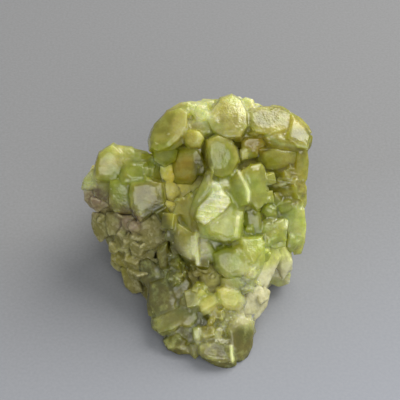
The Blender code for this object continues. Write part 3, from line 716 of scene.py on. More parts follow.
def tone_crystals(
    places: np.ndarray, found: np.ndarray, grown: list[tuple[Vector, float, float]]
) -> np.ndarray:
    """Make each strewn crystal a little paler or darker than what it grows on.

    Args:
        places: the piece's vertices, in metres.
        found: their red, green, blue and cloudiness.
        grown: each crystal's tip, its reach in metres, and its tone.

    Returns:
        The changed colours.
    """
    tips = KDTree(len(grown))
    for number, (tip, _, _) in enumerate(grown):
        tips.insert(tip, number)
    tips.balance()
    pale = np.array((*linear(Tint.WATER.value)[:3], PALE_CLOUD))
    toned = found.copy()
    for k, place in enumerate(places):
        _, number, far = tips.find(place)
        _, reach, tone = grown[number]
        share = min(max((reach - far) / (TONE_FADE * reach), 0.0), 1.0) * abs(tone)
        if share > 0:
            other = pale if tone > 0 else found[k] * DARKENED
            toned[k] = found[k] * (1 - TONE * share) + other * TONE * share
    return toned


SPOT_CORE = 0.4  # millimetres around a spot's line where its tint is nearly pure
SPOT_FALL = 5  # how sharply one crystal's tint gives way to the next
FRONT_END = -2.0  # millimetres out from the middle where the display face's tints end
FRONT_FADE = 6.0  # millimetres behind that over which they give way to the plain tint
MARK_EDGE = 0.3  # millimetres on each side of a mark's edge over which it fades
LINES_EDGE = 0.8  # millimetres within its reach over which a lined face fades in


def colour_growth(
    piece: bpy.types.Object, base: Spot, grown_on: list[tuple[Vector, float, float]]
) -> None:
    """Write the tints and cloudiness into a "growth" attribute, and the growth lines into "lines".

    Args:
        piece: the object.
        base: the tint of what lies away from the display face.
        grown_on: each strewn crystal's tip, its reach in metres, and its tone.
    """
    world = vertex_places(piece)
    places = place_on_face(world)
    total = np.zeros((len(places), 4))
    weight = np.zeros(len(places))
    for grown in GROWTH:
        near = distance_to_line(places, grown.line)
        share = 1 / (near + SPOT_CORE) ** SPOT_FALL
        total += share[:, None] * np.array((*linear(grown.tint.value)[:3], grown.cloud))
        weight += share
    found = total / weight[:, None]
    behind = np.clip((FRONT_END - along_face(world)[2]) / FRONT_FADE, 0, 1)[:, None]
    away = np.array((*linear(base.tint.value)[:3], base.cloud))
    found = tone_crystals(world, found * (1 - behind) + away * behind, grown_on)
    for mark in MARKS:
        near = distance_to_line(places, mark.line)
        share = np.clip((mark.reach + MARK_EDGE - near) / (2 * MARK_EDGE), 0, 1)[:, None]
        share = share * (1 - behind)
        found = found * (1 - share) + np.array((*linear(mark.tint.value)[:3], mark.cloud)) * share
    lined = np.zeros(len(places))
    for face in STREAKS:
        near = distance_to_line(places, face.line)
        strength = face.cloud * np.clip((face.reach - near) / LINES_EDGE, 0, 1)
        lined = np.maximum(lined, strength * (1 - behind[:, 0]))
    layer = piece.data.attributes.new("lines", "FLOAT", "POINT")
    layer.data.foreach_set("value", lined.astype(np.float32))
    layer = piece.data.attributes.new("growth", "FLOAT_COLOR", "POINT")
    layer.data.foreach_set("color", found.astype(np.float32).ravel())


def texture(name: str, kind: str, size: float, **settings: object) -> bpy.types.Texture:
    """Make a texture for displacement.

    Args:
        name: its name.
        kind: its type.
        size: the size of its pattern in millimetres.
        settings: the rest of its settings.

    Returns:
        The texture.
    """
    made = bpy.data.textures.new(name, type=kind)
    made.noise_scale = size * MM
    for key, value in settings.items():
        setattr(made, key, value)
    return made


def stepped_texture(name: str, size: float, steps: int) -> bpy.types.Texture:
    """A cloud texture whose values are cut into flat steps, for growth terraces.

    Args:
        name: its name.
        size: the size of its pattern in millimetres.
        steps: how many steps it has.

    Returns:
        The texture.
    """
    made = texture(name, "CLOUDS", size, noise_depth=1)
    made.use_color_ramp = True
    ramp = made.color_ramp
    ramp.interpolation = "CONSTANT"
    ramp.elements[0].color = (0, 0, 0, 1)
    ramp.elements[0].position = 0.0
    ramp.elements[1].color = (1, 1, 1, 1)
    ramp.elements[1].position = 0.75
    for count in range(1, steps):
        part = ramp.elements.new(0.25 + 0.5 * count / steps)
        level = count / steps
        part.color = (level, level, level, 1)
    return made


def settle(piece: bpy.types.Object) -> None:
    """Keep a piece's underside flat on the floor.

    Args:
        piece: the object.
    """
    places = vertex_places(piece)
    places[:, 2] = np.maximum(places[:, 2], 0.0)
    piece.data.vertices.foreach_set("co", places.astype(np.float32).ravel())
    piece.data.update()


@dataclass(frozen=True)
class Habit:
    """The shape of a small crystal: a prism that ends in slanting faces.

    Attributes:
        width: across, as a share of its length.
        breadth: the other way across, as a share of its length.
        slopes: (x, y, z, distance) of each face that cuts its free end.
    """

    width: float
    breadth: float
    slopes: tuple[tuple[float, float, float, float], ...]

    def model(self) -> tuple[np.ndarray, list[list[int]]]:
        """Model one crystal of unit length that stands on its root.

        Returns:
            The corners, and the corner numbers of each face.
        """
        bpy.ops.object.select_all(action="DESELECT")
        bpy.ops.mesh.primitive_cube_add(size=1.0, location=(0, 0, 0.5))
        crystal = bpy.context.active_object
        bpy.ops.object.mode_set(mode="EDIT")
        bpy.ops.mesh.select_all(action="SELECT")
        bpy.ops.transform.resize(value=(self.width, self.breadth, 1.0))
        for x, y, z, distance in self.slopes:
            normal = Vector((x, y, z)).normalized()
            bpy.ops.mesh.select_all(action="SELECT")
            bpy.ops.mesh.bisect(
                plane_co=normal * distance, plane_no=normal, use_fill=True, clear_outer=True
            )
        bpy.ops.object.mode_set(mode="OBJECT")
        corners = vertex_places(crystal)
        faces = [list(polygon.vertices) for polygon in crystal.data.polygons]
        bpy.data.objects.remove(crystal)
        return corners, faces


HABITS = (
    Habit(0.66, 0.50, ((1, 0.1, 0.8, 0.72), (-1, 0.4, 0.6, 0.60), (0.2, 1, 1.0, 0.76),
                       (-0.3, -1, 0.7, 0.62), (1, -0.8, 0.3, 0.44))),
    Habit(0.75, 0.60, ((1, 0.4, 1.4, 0.86), (-0.6, 1, 1.0, 0.74), (-0.5, -1, 1.3, 0.80),
                       (-1, -0.1, 0.4, 0.52), (0.8, -1, 0.2, 0.42))),
    Habit(0.55, 0.28, ((1, 0, 1.1, 0.78), (-0.7, 0.3, 1.0, 0.80), (0.1, 1, 0.7, 0.62))),
    Habit(0.85, 0.70, ((1, 0.2, 2.0, 0.90), (-1, 0.6, 1.1, 0.72), (0.1, -1, 0.9, 0.66),
                       (0, 1, 2, 0.9), (1, 1, 0.4, 0.55), (-1, -0.7, 0.2, 0.48))),
    Habit(1.0, 0.9, ((1, 0.3, 1.0, 0.86), (-0.9, 0.5, 0.8, 0.82), (0.2, -1, 0.9, 0.78),
                     (-0.5, -0.8, 0.5, 0.68), (0.1, 1, 1.3, 0.93), (0.1, 0.05, 1, 0.96),
                     (1, -0.8, 0.5, 0.66))),
    Habit(0.9, 1.0, ((1, -0.5, 0.7, 0.76), (0.6, 1, 0.9, 0.82), (-1, 0.4, 0.8, 0.78),
                     (-0.6, -1, 1.2, 0.90), (0.3, -1, 0.6, 0.70), (-0.08, 0.1, 1, 0.95),
                     (-0.6, 0.9, 0.5, 0.68))),
)
PRISMS = (0, 1, 2, 3)
TABLETS = (4, 5)


@dataclass(frozen=True)
class Crust:
    """Small crystals strewn over a surface.

    Attributes:
        count: how many there are.
        sizes: the least and the greatest length in millimetres.
        middle: the (right, up) middle of the patch on the display face, or None for all over.
        reach: how far the patch reaches from its middle, in millimetres.
        stray: how far a crystal leans from the surface's own direction.
        sunk: how much of its length stands in what it grows on.
        front_size: the greatest length on the display face, where they are strewn all over.
        habits: which of the habits it takes.
    """

    count: int
    sizes: tuple[float, float]
    middle: tuple[float, float] | None = None
    reach: float = 99.0
    stray: float = 0.7
    sunk: float = 0.45
    front_size: float = 2.6
    habits: tuple[int, ...] = PRISMS


FINE_CRYSTAL = 1.2  # millimetres; a smaller one may stand past the outline
TRIES = 60  # places tried for each crystal before a crowded surface is left
FACING = -0.2  # a surface turned towards the viewer by more than this is part of the front
BARE_FOOT = 0.6  # millimetres above the floor where nothing is strewn
STRETCH = (0.8, 1.3)  # the least and the most that a crystal is drawn out sideways
TONE_REACH = 0.45  # how far a crystal's own tone reaches, as a share of its length
BLADE_ROOM = 0.4  # how near a crystal may stand to a flat-faced one, as a share of its length
HIDDEN = 0.1  # millimetres that a root may come out before it would show through a face


def inside(ring: tuple[tuple[float, float], ...], right: float, up: float) -> bool:
    """Whether a place on the display face is inside an outline.

    Args:
        ring: the outline's (right, up) corners, in millimetres.
        right: how far to the right the place is, in millimetres.
        up: how far up it is, in millimetres.

    Returns:
        True if it is.
    """
    within = False
    for (x0, y0), (x1, y1) in zip(ring, ring[1:] + ring[:1]):
        if (y0 > up) != (y1 > up) and right < (x1 - x0) * (up - y0) / (y1 - y0) + x0:
            within = not within
    return within


def blades_near(right: float, up: float, room: float) -> list[Blade]:
    """Find the flat-faced crystals that come near a place on the display face.

    Args:
        right: how far to the right the place is, in millimetres.
        up: how far up it is, in millimetres.
        room: how near they have to come, in millimetres.

    Returns:
        The crystals.
    """
    return [
        blade
        for (x, y, reach), blade in BLADE_REACHES
        if (x - right) ** 2 + (y - up) ** 2 < (reach + room) ** 2
    ]


def on_blade(right: float, up: float, size: float) -> bool:
    """Whether a small crystal would stand on one of the flat-faced crystals.

    Args:
        right: where it is seen on the display face, in millimetres to the right.
        up: how far up it is seen, in millimetres.
        size: its size in millimetres.

    Returns:
        True if it would.
    """
    place = np.array([[right, up]])
    return any(
        inside(blade.outline, right, up)
        or distance_to_line(place, blade.outline + blade.outline[:1])[0] < BLADE_ROOM * size
        for blade in blades_near(right, up, size)
    )


def pokes_through(corners: np.ndarray) -> bool:
    """Whether a small crystal's corners come out where a flat-faced crystal is seen.

    Args:
        corners: an (n, 3) array of its corners, in metres.

    Returns:
        True if one does.
    """
    outs = (corners - np.array(DISPLAY_CENTRE)) @ np.array(OUTWARD) / MM
    return any(
        any(inside(blade.outline, right, up) for blade in blades_near(right, up, 0.0))
        and out > out_at(right, up) + HIDDEN
        for (right, up), out in zip(place_on_face(corners).tolist(), outs.tolist())
    )


def over_solids(points: np.ndarray) -> bool:
    """Whether every one of some points is seen over the solids, not past their outline.

    Args:
        points: an (n, 3) array of places in metres.

    Returns:
        True if every one is.
    """
    eye = DISPLAY_CENTRE + OUTWARD * VIEW_DISTANCE
    sights = ((Vector(point) - eye).normalized() for point in points)
    return all(SOLIDS.ray_cast(eye, sight)[0] is not None for sight in sights)


def strew(
    piece: bpy.types.Object, crust: Crust, dice: random.Random
) -> list[tuple[Vector, float, float]]:
    """Join small crystals to a piece, all over it or in one patch.

    Args:
        piece: the object.
        crust: what to strew.
        dice: the source of chance.

    Returns:
        Where each crystal's tip is, its reach in metres, and its tone from -1, dark, to 1, pale.
    """
    grown: list[tuple[Vector, float, float]] = []
    piece.data.calc_loop_triangles()
    places = vertex_places(piece)
    corners = np.array([t.vertices[:] for t in piece.data.loop_triangles])
    a, b, c = (places[corners[:, k]] for k in range(3))
    cross = np.cross(b - a, c - a)
    area = np.linalg.norm(cross, axis=1)
    heaps = np.cumsum(area)
    verts: list[np.ndarray] = []
    faces: list[list[int]] = []
    total = 0
    for _ in range(crust.count * TRIES):
        if len(grown) == crust.count:
            break
        # A place on the surface, each as likely as any other.
        k = int(np.searchsorted(heaps, dice.random() * heaps[-1]))
        u, v = dice.random(), dice.random()
        if u + v > 1:
            u, v = 1 - u, 1 - v
        point = a[k] + u * (b[k] - a[k]) + v * (c[k] - a[k])
        normal = Vector(cross[k] / max(area[k], TINY))
        right, up = place_on_face(point[None])[0]
        if crust.middle and math.dist((right, up), crust.middle) > crust.reach:
            continue
        size = dice.uniform(*crust.sizes)
        if crust.middle is None and normal.dot(OUTWARD) > FACING:
            size = min(size, crust.front_size)
            if on_blade(right, up, size):
                continue
        if point[2] < BARE_FOOT * MM or hemmed_in(Vector(point), normal, size * MM):
            continue
        # A crystal that leans away from the surface there, turned and stretched.
        lean = Vector([dice.uniform(-1, 1) for _ in range(3)]) * crust.stray
        turn = (normal + lean).to_track_quat("Z", "Y").to_matrix().to_4x4()
        spin = Matrix.Rotation(dice.uniform(0, math.tau), 4, "Z")
        stretch = Matrix.Diagonal((dice.uniform(*STRETCH), dice.uniform(*STRETCH), 1.0, 1.0))
        base_corners, base_faces = SHAPES[dice.choice(crust.habits)]
        matrix = np.array(turn @ spin @ stretch)[:3, :3] * size * MM
        axis = np.array(turn)[:3, 2]
        placed = base_corners @ matrix.T + (point - axis * size * MM * crust.sunk)
        if size > FINE_CRYSTAL and not over_solids(placed):
            continue
        if crust.middle is None and pokes_through(placed):
            continue
        verts.append(placed)
        tip = Vector(point + axis * size * MM * (1 - crust.sunk))
        grown.append((tip, TONE_REACH * size * MM, dice.uniform(-1, 1)))
        faces += [[corner + total for corner in face] for face in base_faces]
        total += len(base_corners)
    data = bpy.data.meshes.new("crust")
    data.from_pydata(np.concatenate(verts).tolist(), [], faces)
    crystals = bpy.data.objects.new("crust", data)
    bpy.context.scene.collection.objects.link(crystals)
    select_only(piece)
    crystals.select_set(True)
    bpy.ops.object.join()
    return grown


MOST_RISE = 1.0  # millimetres that a blade is lifted, to clear what is under it
STEEPEST = 0.8  # the most that a blade's face drops back per millimetre
ASIDE = 2.5  # millimetres; what is further in front or behind isn't the face under a blade
TESTED = (0.3, 0.6, 0.88)  # where the solids are measured, from an outline's middle to its corners


def lie_over(
    outline: tuple[tuple[float, float], ...],
    middle: list[float],
    lean: tuple[float, float] | None,
) -> tuple[tuple[float, float], float]:

    """Find the plane that lies over the solids within an outline.

    Args:
        outline: the (right, up) corners, in millimetres.
        middle: the outline's middle.
        lean: the plane's lean if it is given, or None.

    Returns:
        The plane's lean to the right and up, and how far out it is at the middle.
    """
    spots = [(0.0, 0.0)]
    for corner in outline:
        spots += [tuple(share * (corner[k] - middle[k]) for k in (0, 1)) for share in TESTED]
    outs = np.array([out_at(middle[0] + x, middle[1] + y) for x, y in spots])
    table = np.array([(-x, -y, 1.0) for x, y in spots])
    near = np.abs(outs - np.median(outs)) < ASIDE
    if lean is None:
        fitted = np.linalg.lstsq(table[near], outs[near], rcond=None)[0]
        lean = tuple(float(np.clip(fitted[k], -STEEPEST, STEEPEST)) for k in (0, 1))
    levels = outs[near] - table[near, :2] @ np.array(lean)
    level = float(np.median(levels))
    return lean, level + min(float(levels.max()) - level, MOST_RISE)


@dataclass(frozen=True)
class Blade:
    """A flat-faced crystal that stands out of a group.

    Attributes:
        outline: its (right, up) corners as it is looked at, in millimetres.
        proud: how far it stands out of what is under it, in millimetres.
        thick: how deep it goes, in millimetres.
        lean: how far its face drops back per millimetre to the right, and per millimetre up;
            None for as much as what is under it.
        root: the size of its root as a share of its face.
        top: the size of its topmost facet as a share of its face.
        facet: how far the facets around the topmost one fall, in millimetres.
    """

    outline: tuple[tuple[float, float], ...]
    proud: float = 0.4
    thick: float = 3.0
    lean: tuple[float, float] | None = None
    root: float = 1.2
    top: float = 0.66
    facet: float = 0.5

    def model(self) -> bpy.types.Object:
        """Model the crystal where it grows.

        Returns:
            The crystal.
        """
        middle = [sum(p[k] for p in self.outline) / len(self.outline) for k in (0, 1)]
        lean, surface = lie_over(self.outline, middle, self.lean)
        surface += self.proud
        corner = self.outline[0]
        heart = [middle[k] + 0.3 * (corner[k] - middle[k]) for k in (0, 1)]
        bpy.ops.object.select_all(action="DESELECT")
        bpy.ops.mesh.primitive_circle_add(vertices=len(self.outline), fill_type="NGON")
        crystal = bpy.context.active_object
        for vertex, place in zip(crystal.data.vertices, self.outline):
            right, up = (heart[k] + self.top * (place[k] - heart[k]) for k in (0, 1))
            drop = lean[0] * (right - middle[0]) + lean[1] * (up - middle[1])
            vertex.co = on_face(right, up, surface - drop)
        bpy.ops.object.mode_set(mode="EDIT")
        bpy.ops.mesh.select_all(action="SELECT")
        drop = lean[0] * (heart[0] - middle[0]) + lean[1] * (heart[1] - middle[1])
        for depth, spread, centre, level in (
            (self.facet, 1 / self.top, heart, surface - drop - self.facet),
            (self.thick, self.root, middle, surface - self.facet - self.thick),
        ):
            inwards = -depth * MM * OUTWARD
            bpy.ops.mesh.extrude_region_move(TRANSFORM_OT_translate={"value": inwards})
            bpy.ops.transform.resize(
                value=(spread, spread, spread), center_override=on_face(*centre, level)
            )
        bpy.ops.mesh.select_all(action="SELECT")
        bpy.ops.mesh.normals_make_consistent(inside=False)
        bpy.ops.object.mode_set(mode="OBJECT")
        order_faces(crystal.data)
        return crystal


def order_faces(mesh: bpy.types.Mesh) -> None:
    """Put a mesh's faces in a fixed order, so that every run strews the same crystals on them.

    Args:
        mesh: the mesh.
    """
    corners = [tuple(vertex.co) for vertex in mesh.vertices]
    faces = []
    for polygon in mesh.polygons:
        ring = list(polygon.vertices)
        first = ring.index(min(ring))
        faces.append(ring[first:] + ring[:first])
    mesh.clear_geometry()
    mesh.from_pydata(corners, [], sorted(faces))


def on_face(right: float, up: float, out: float) -> Vector:
    """Find the point that is seen at a place on the display face, so far out.

    Args:
        right: how far to the right it is seen, in millimetres.
        up: how far up it is seen, in millimetres.
        out: how far it stands out of the cluster's middle, in millimetres.

    Returns:
        The point in metres.
    """
    distance = VIEW_DISTANCE / MM
    size = (distance - out) / (distance - PLANE_DEPTH)
    return DISPLAY_CENTRE + MM * (size * right * RIGHTWARD + size * up * UPWARD + out * OUTWARD)


def out_at(right: float, up: float) -> float:
    """Find how far out the solids' surface is where a place on the display face is seen.

    Args:
        right: how far to the right it is seen, in millimetres.
        up: how far up it is seen, in millimetres.

    Returns:
        How far it stands out of the cluster's middle, in millimetres.
    """
    eye = DISPLAY_CENTRE + OUTWARD * VIEW_DISTANCE
    hit = SOLIDS.ray_cast(eye, (on_face(right, up, PLANE_DEPTH) - eye).normalized())[0]
    return (hit - DISPLAY_CENTRE).dot(OUTWARD) / MM if hit else PLANE_DEPTH


def hemmed_in(point: Vector, normal: Vector, room: float) -> bool:
    """Whether another solid stands close over a point of the surface.

    Args:
        point: the place, in metres.
        normal: the surface's direction there.
        room: how far to look, in metres.

    Returns:
        True if something is within that distance.
    """
    return SOLIDS.ray_cast(point + normal * 0.05 * MM, normal, room)[0] is not None


def tree_of_solids() -> BVHTree:
    """Gather every CAD solid into one tree for looking along lines."""
    verts: list[Vector] = []
    faces: list[tuple[int, ...]] = []
    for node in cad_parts.values():
        start = len(verts)
        verts += [vertex.co.copy() for vertex in node.data.vertices]
        faces += [tuple(start + k for k in face.vertices) for face in node.data.polygons]
    return BVHTree.FromPolygons(verts, faces)


SOLIDS = tree_of_solids()
SHAPES = [habit.model() for habit in HABITS]


CROWN_BLADES = (
    # left face
    Blade(((-13, 16.1), (-12.2, 18.7), (-8.8, 22.9), (-5.2, 23.9), (-3.4, 22.6), (-3.6, 19.2),
           (-5.2, 16.4), (-7.8, 14), (-10.9, 13), (-12.7, 13.8)), 0.33, 5.0),
    # under the left face
    Blade(((-12.2, 13.8), (-8.3, 14), (-6, 13), (-6.5, 10.4), (-9.4, 8.8),
           (-11.7, 10.4)), 0.26, 3.0),
    # round lump
    Blade(((-3.9, 17.2), (-2.6, 18.5), (-0.3, 17.9), (1, 16.1), (0, 14), (-2.3, 13.8),
           (-3.6, 14.8)), 0.59, 3.0),
    # frosted chip
    Blade(((-2.3, 22.9), (-0.8, 24.4), (1.6, 23.4), (3.1, 22.9), (2.9, 21.1),
           (-1, 20.8)), 0.39, 3.0),
    # dome
    Blade(((2.9, 22.9), (5.7, 26.5), (8.3, 27.3), (10.4, 26), (12, 22.9), (12.2, 19.2),
           (10.4, 16.6), (6.8, 16.4), (3.4, 18.2), (2.1, 20.8)), 0.39, 6.0),
    # frosted bump
    Blade(((10.7, 26), (12, 26.8), (13.8, 26.3), (14.3, 24.2), (12, 23.4)), 0.52, 3.0),
    # right plate
    Blade(((12.5, 22.9), (16.1, 24.2), (20, 24.2), (23.9, 22.4), (23.4, 18.7), (18.7, 17.2),
           (14.6, 17.9), (12.7, 19.8)), 0.33, 4.0),
    # right end
    Blade(((23.9, 22.4), (27.3, 19.2), (28.9, 16.6), (28.1, 13.5), (25.5, 14), (22.9, 16.1),
           (23.4, 19.2)), 0.26, 4.0),
    # lip
    Blade(((16.6, 17.2), (20.8, 16.6), (26, 14.6), (27.8, 13.5), (26.8, 12.5), (22.1, 13),
           (18.2, 14)), 0.07, 4.0),
)
RECESS_BLADES = (
    # honey face
    Blade(((-6, 12.5), (-3.6, 13.3), (-0.8, 13), (0.3, 10.9), (-0.3, 7.3), (-2.1, 4.2),
           (-6.8, 4.2), (-8.3, 5.7), (-7.3, 9.1)), 0.2, 3.0),
    # right honey face
    Blade(((10.9, 15.6), (13, 16.6), (16.1, 16.6), (17.2, 15.1), (15.1, 11.4), (12.5, 11.2),
           (10.9, 13)), 0.2, 3.0),
    # bright olive face
    Blade(((16.1, 12.5), (19.8, 13.8), (25, 13), (25.2, 9.1), (20.8, 7.8), (17.2, 8.3),
           (15.9, 10.4)), 0.2, 3.0),
    # clear chip
    Blade(((10.4, 13), (11.7, 14), (13, 13.3), (12.5, 10.9), (10.9, 10.4)), 0.96, 3.0),
)
CENTRE_BLADES = (
    # lozenge
    Blade(((4.2, 4.2), (7.8, 0.5), (8.1, -0.8), (6.2, -2.9), (3.1, -5.2), (1.2, -6.5), (-1, -4.4),
           (-0.5, -2.1), (1.6, 0.3)), 0.8, 4.0, (0.08, 0.34), top=0.9, facet=0.2),
    # side of the lozenge
    Blade(((2.3, 7.5), (3.4, 4.2), (1.3, 0.8), (-0.8, -2.1), (-1.8, -5.5), (-2.6, -3.6),
           (-2.1, -1), (0, 3.6), (1.6, 7.3)), 0.2, 3.0),
    # left of the pair
    Blade(((7.8, 3.4), (8.1, 5.5), (10.1, 7.5), (12, 5.7), (13, 2.3), (12.7, -0.8), (10.4, -1.6),
           (8.1, 0.3)), 0.33, 4.0),
    # right of the pair
    Blade(((12, 6.8), (13.5, 8.8), (15.9, 9.1), (16.9, 6.5), (16.9, 1), (15.3, -2.1), (13.5, -0.8),
           (13, 2.6)), 0.26, 4.0),
    # skirt
    Blade(((0.8, -6), (6.8, -3.6), (9.9, -4.2), (10.7, -6.8), (10.4, -9.9), (8.1, -10.7),
           (5.2, -9.4), (2.1, -8.8)), 0.2, 3.0),
    # frosted rib
    Blade(((9.1, -4.2), (10.7, -3.9), (10.7, -6.2), (9.9, -9.4), (9.1, -9.4)), 0.45, 3.0),
    # pale left
    Blade(((-7.5, -8.3), (-5.7, -6.2), (-2.6, -8.3), (-0.8, -8.8), (-0.3, -16.4), (-2.6, -15.6),
           (-4.9, -14.3), (-7.3, -11.7)), 0.33, 4.0),
    # pale right
    Blade(((-0.5, -8.8), (1.8, -10.4), (3.6, -13), (3.4, -16.1), (-0.3, -16.4)), 0.2, 4.0),
    # block face
    Blade(((3.6, -14), (6.8, -12.5), (10.4, -13), (13, -16.1), (11.7, -19.5), (6.8, -20.3),
           (4.2, -17.7)), 0.33, 4.0),
    # block top
    Blade(((10.4, -9.9), (16.1, -9.6), (16.6, -13), (13.8, -16.4), (10.7, -13)), 0.26, 4.0),
    # right block
    Blade(((16.1, -5.7), (21.8, -4.9), (22.4, -10.4), (17.7, -12), (16.1, -9.4)), 0.26, 4.0),
    # olive left
    Blade(((-5.7, -2.3), (-4.7, 0), (-2.6, 1.8), (-2.1, -1.3), (-2.6, -5.7),
           (-4.7, -5.5)), 0.2, 3.0),
    # upright face
    Blade(((2.1, 15.1), (4.4, 16.6), (7, 15.9), (9.1, 13.5), (9.9, 10.4), (8.1, 6.8), (5.7, 6),
           (2.9, 7), (2.1, 10.4)), 0.2, 3.0),
)
SHOULDER_BLADES = (
    # pale left
    Blade(((-30.7, 3.1), (-30.2, 5.7), (-28.1, 8.1), (-27, 8.3), (-27.6, 5.2), (-27, 3.1),
           (-29.1, 2.6)), 0.2, 3.0),
    # large face
    Blade(((-27.3, 9.1), (-26.3, 12.2), (-22.9, 14.3), (-20.8, 12.5), (-19.8, 8.8), (-21.8, 5.7),
           (-24.4, 5.2), (-27, 5.5)), 0.26, 4.0),
    # top
    Blade(((-22.9, 14.3), (-17.9, 13.8), (-16.4, 12.5), (-13.3, 12), (-14, 10.1), (-19.2, 10.1),
           (-21.3, 12)), 0.26, 4.0),
    # green face
    Blade(((-19.8, 7.8), (-17.9, 9.9), (-14, 9.9), (-13, 7.8), (-14, 5.2), (-17.9, 4.9),
           (-20, 6.2)), 0.33, 3.0),
    # olive face
    Blade(((-23.4, 4.7), (-20.5, 5.2), (-18.2, 2.6), (-18.2, -3.1), (-21.3, -3.1),
           (-23.7, -1)), 0.2, 3.0),
    # block
    Blade(((-17.9, 4.4), (-13.5, 5.2), (-9.9, 4.2), (-9.4, -0.5), (-12.5, -3.4), (-15.6, -5.5),
           (-17.9, -2.1), (-18.5, 1.3)), 0.33, 4.0),
)
FOOT_BLADES = (
    # ledge
    Blade(((-12.2, -31.2), (-8.8, -29.6), (-5.2, -28.1), (-2.6, -28.6), (-3.6, -31.7),
           (-7.3, -33.8), (-10.4, -34.6), (-12, -33.3)), 0.26, 3.0),
    # lower left
    Blade(((-9.4, -36.9), (-6.2, -34.3), (-3.6, -36.9), (-4.2, -39.3), (-8.3, -38.7)), 0.2, 3.0),
    # oval
    Blade(((-0.3, -26.8), (2.1, -25), (4.9, -24.4), (4.4, -27), (2.1, -28.6),
           (0.3, -29.1)), 0.52, 3.0),
    # pale block
    Blade(((4.7, -23.7), (6.2, -22.9), (10.4, -23.7), (11.7, -26.8), (10.4, -28.9), (6.8, -28.3),
           (4.9, -26.3)), 0.39, 3.0),
    # small
    Blade(((-3.1, -26), (-1.8, -24.2), (-0.3, -25.2), (-0.5, -27.6), (-2.1, -28.1)), 0.39, 3.0),
    # bottom face
    Blade(((0, -38.2), (3.6, -35.9), (7.3, -36.4), (8.1, -39), (9.1, -41.9), (6.2, -42.6),
           (2.1, -41.6), (0, -40.3)), 0.26, 3.0),
    # right face
    Blade(((7.5, -33.8), (9.9, -30.7), (13.3, -31.2), (14, -34.8), (12.5, -39.5), (11.2, -41.6),
           (9.4, -41.3), (8.1, -38.5)), 0.26, 3.0),
    # clear chip
    Blade(((-1.8, -33.8), (-0.3, -33), (0.5, -34.8), (-0.3, -36.7), (-1.6, -36.4)), 0.59, 2.0),
    # under the block
    Blade(((5.7, -20.5), (10.4, -19.8), (12, -21.8), (10.4, -23.4), (6.2, -23.4)), 0.26, 3.0),
    # dark left
    Blade(((-13, -21.8), (-9.1, -20.5), (-6.2, -23.4), (-6.8, -28.1), (-11.4, -30.2),
           (-13.3, -27.3)), 0.2, 3.0),
    # flat left
    Blade(((-16.1, -16.1), (-13.8, -15.1), (-10.9, -17.2), (-10.1, -21.6), (-13, -23.1),
           (-15.6, -20.8)), 0.2, 3.0),
    # upper left
    Blade(((-11.2, -13.5), (-8.8, -11.4), (-7.8, -14.6), (-8.3, -18.7),
           (-10.4, -17.7)), 0.26, 3.0),
)


ALL_BLADES = CROWN_BLADES + RECESS_BLADES + CENTRE_BLADES + SHOULDER_BLADES + FOOT_BLADES
# Each one's first corner and how far it reaches from there, with the blade itself.
BLADE_REACHES = [
    ((*blade.outline[0], max(math.dist(blade.outline[0], p) for p in blade.outline)), blade)
    for blade in ALL_BLADES
]


@dataclass
class GrownCrystals:
    """A group of crystals grown together, regrown finely from its solid.

    Attributes:
        node: the CAD node that it stands for.
        finish: its material.
        base: its tint away from the display face.
        crusts: the small crystals strewn on it.
        blades: the flat-faced crystals that lie over its facets.
        grain: the size of the mesh's faces in millimetres.
        kept: the share of those faces that is kept at the end.
        knit: how far it is swollen and shrunk again to close narrow cracks, in millimetres.
        plump: how much fuller than its solid it stays, in millimetres.
        wave: the height of its gentle swells in millimetres.
        wave_size: their width in millimetres.
        step: the height of its growth steps in millimetres.
        step_size: their width in millimetres.
        steps: how many levels they have.
    """

    node: str
    finish: Brazilianite
    base: Spot
    crusts: tuple[Crust, ...]
    blades: tuple[Blade, ...] = ()
    grain: float = 0.21
    kept: float = 1.0
    knit: float = 0.3
    plump: float = 0.10
    wave: float = 0.12
    wave_size: float = 3.2
    step: float = 0.10
    step_size: float = 2.6
    steps: int = 5

    def build(self) -> bpy.types.Object:
        """Build the group and dress it.

        Returns:
            The finished piece.
        """
        piece = copy_of_solid(self.node, f"{self.node}_grown")
        dice = random.Random(self.node)
        blades = [blade.model() for blade in self.blades]
        select_only(piece)
        for blade in blades:
            blade.select_set(True)
        if blades:
            bpy.ops.object.join()
        grown = [tip for crust in self.crusts for tip in strew(piece, crust, dice)]
        for swelling in (self.knit, self.plump - self.knit):
            apply_modifier(piece, "REMESH", mode="VOXEL", voxel_size=self.grain * MM)
            apply_modifier(piece, "DISPLACE", strength=swelling * MM, mid_level=0.0)
        swells = texture(f"{self.node}_swell", "CLOUDS", self.wave_size, noise_depth=1)
        terraces = stepped_texture(f"{self.node}_steps", self.step_size, self.steps)
        for relief, height, mid_level in (
            (swells, self.wave, 0.55),
            (terraces, self.step, 0.6),
        ):
            apply_modifier(
                piece,
                "DISPLACE",
                texture=relief,
                strength=height * MM,
                mid_level=mid_level,
                texture_coords="LOCAL",
            )
        if self.kept < 1.0:
            apply_modifier(piece, "DECIMATE", ratio=self.kept)
        dress(piece, self.node, self.finish, self.base, grown)
        return piece


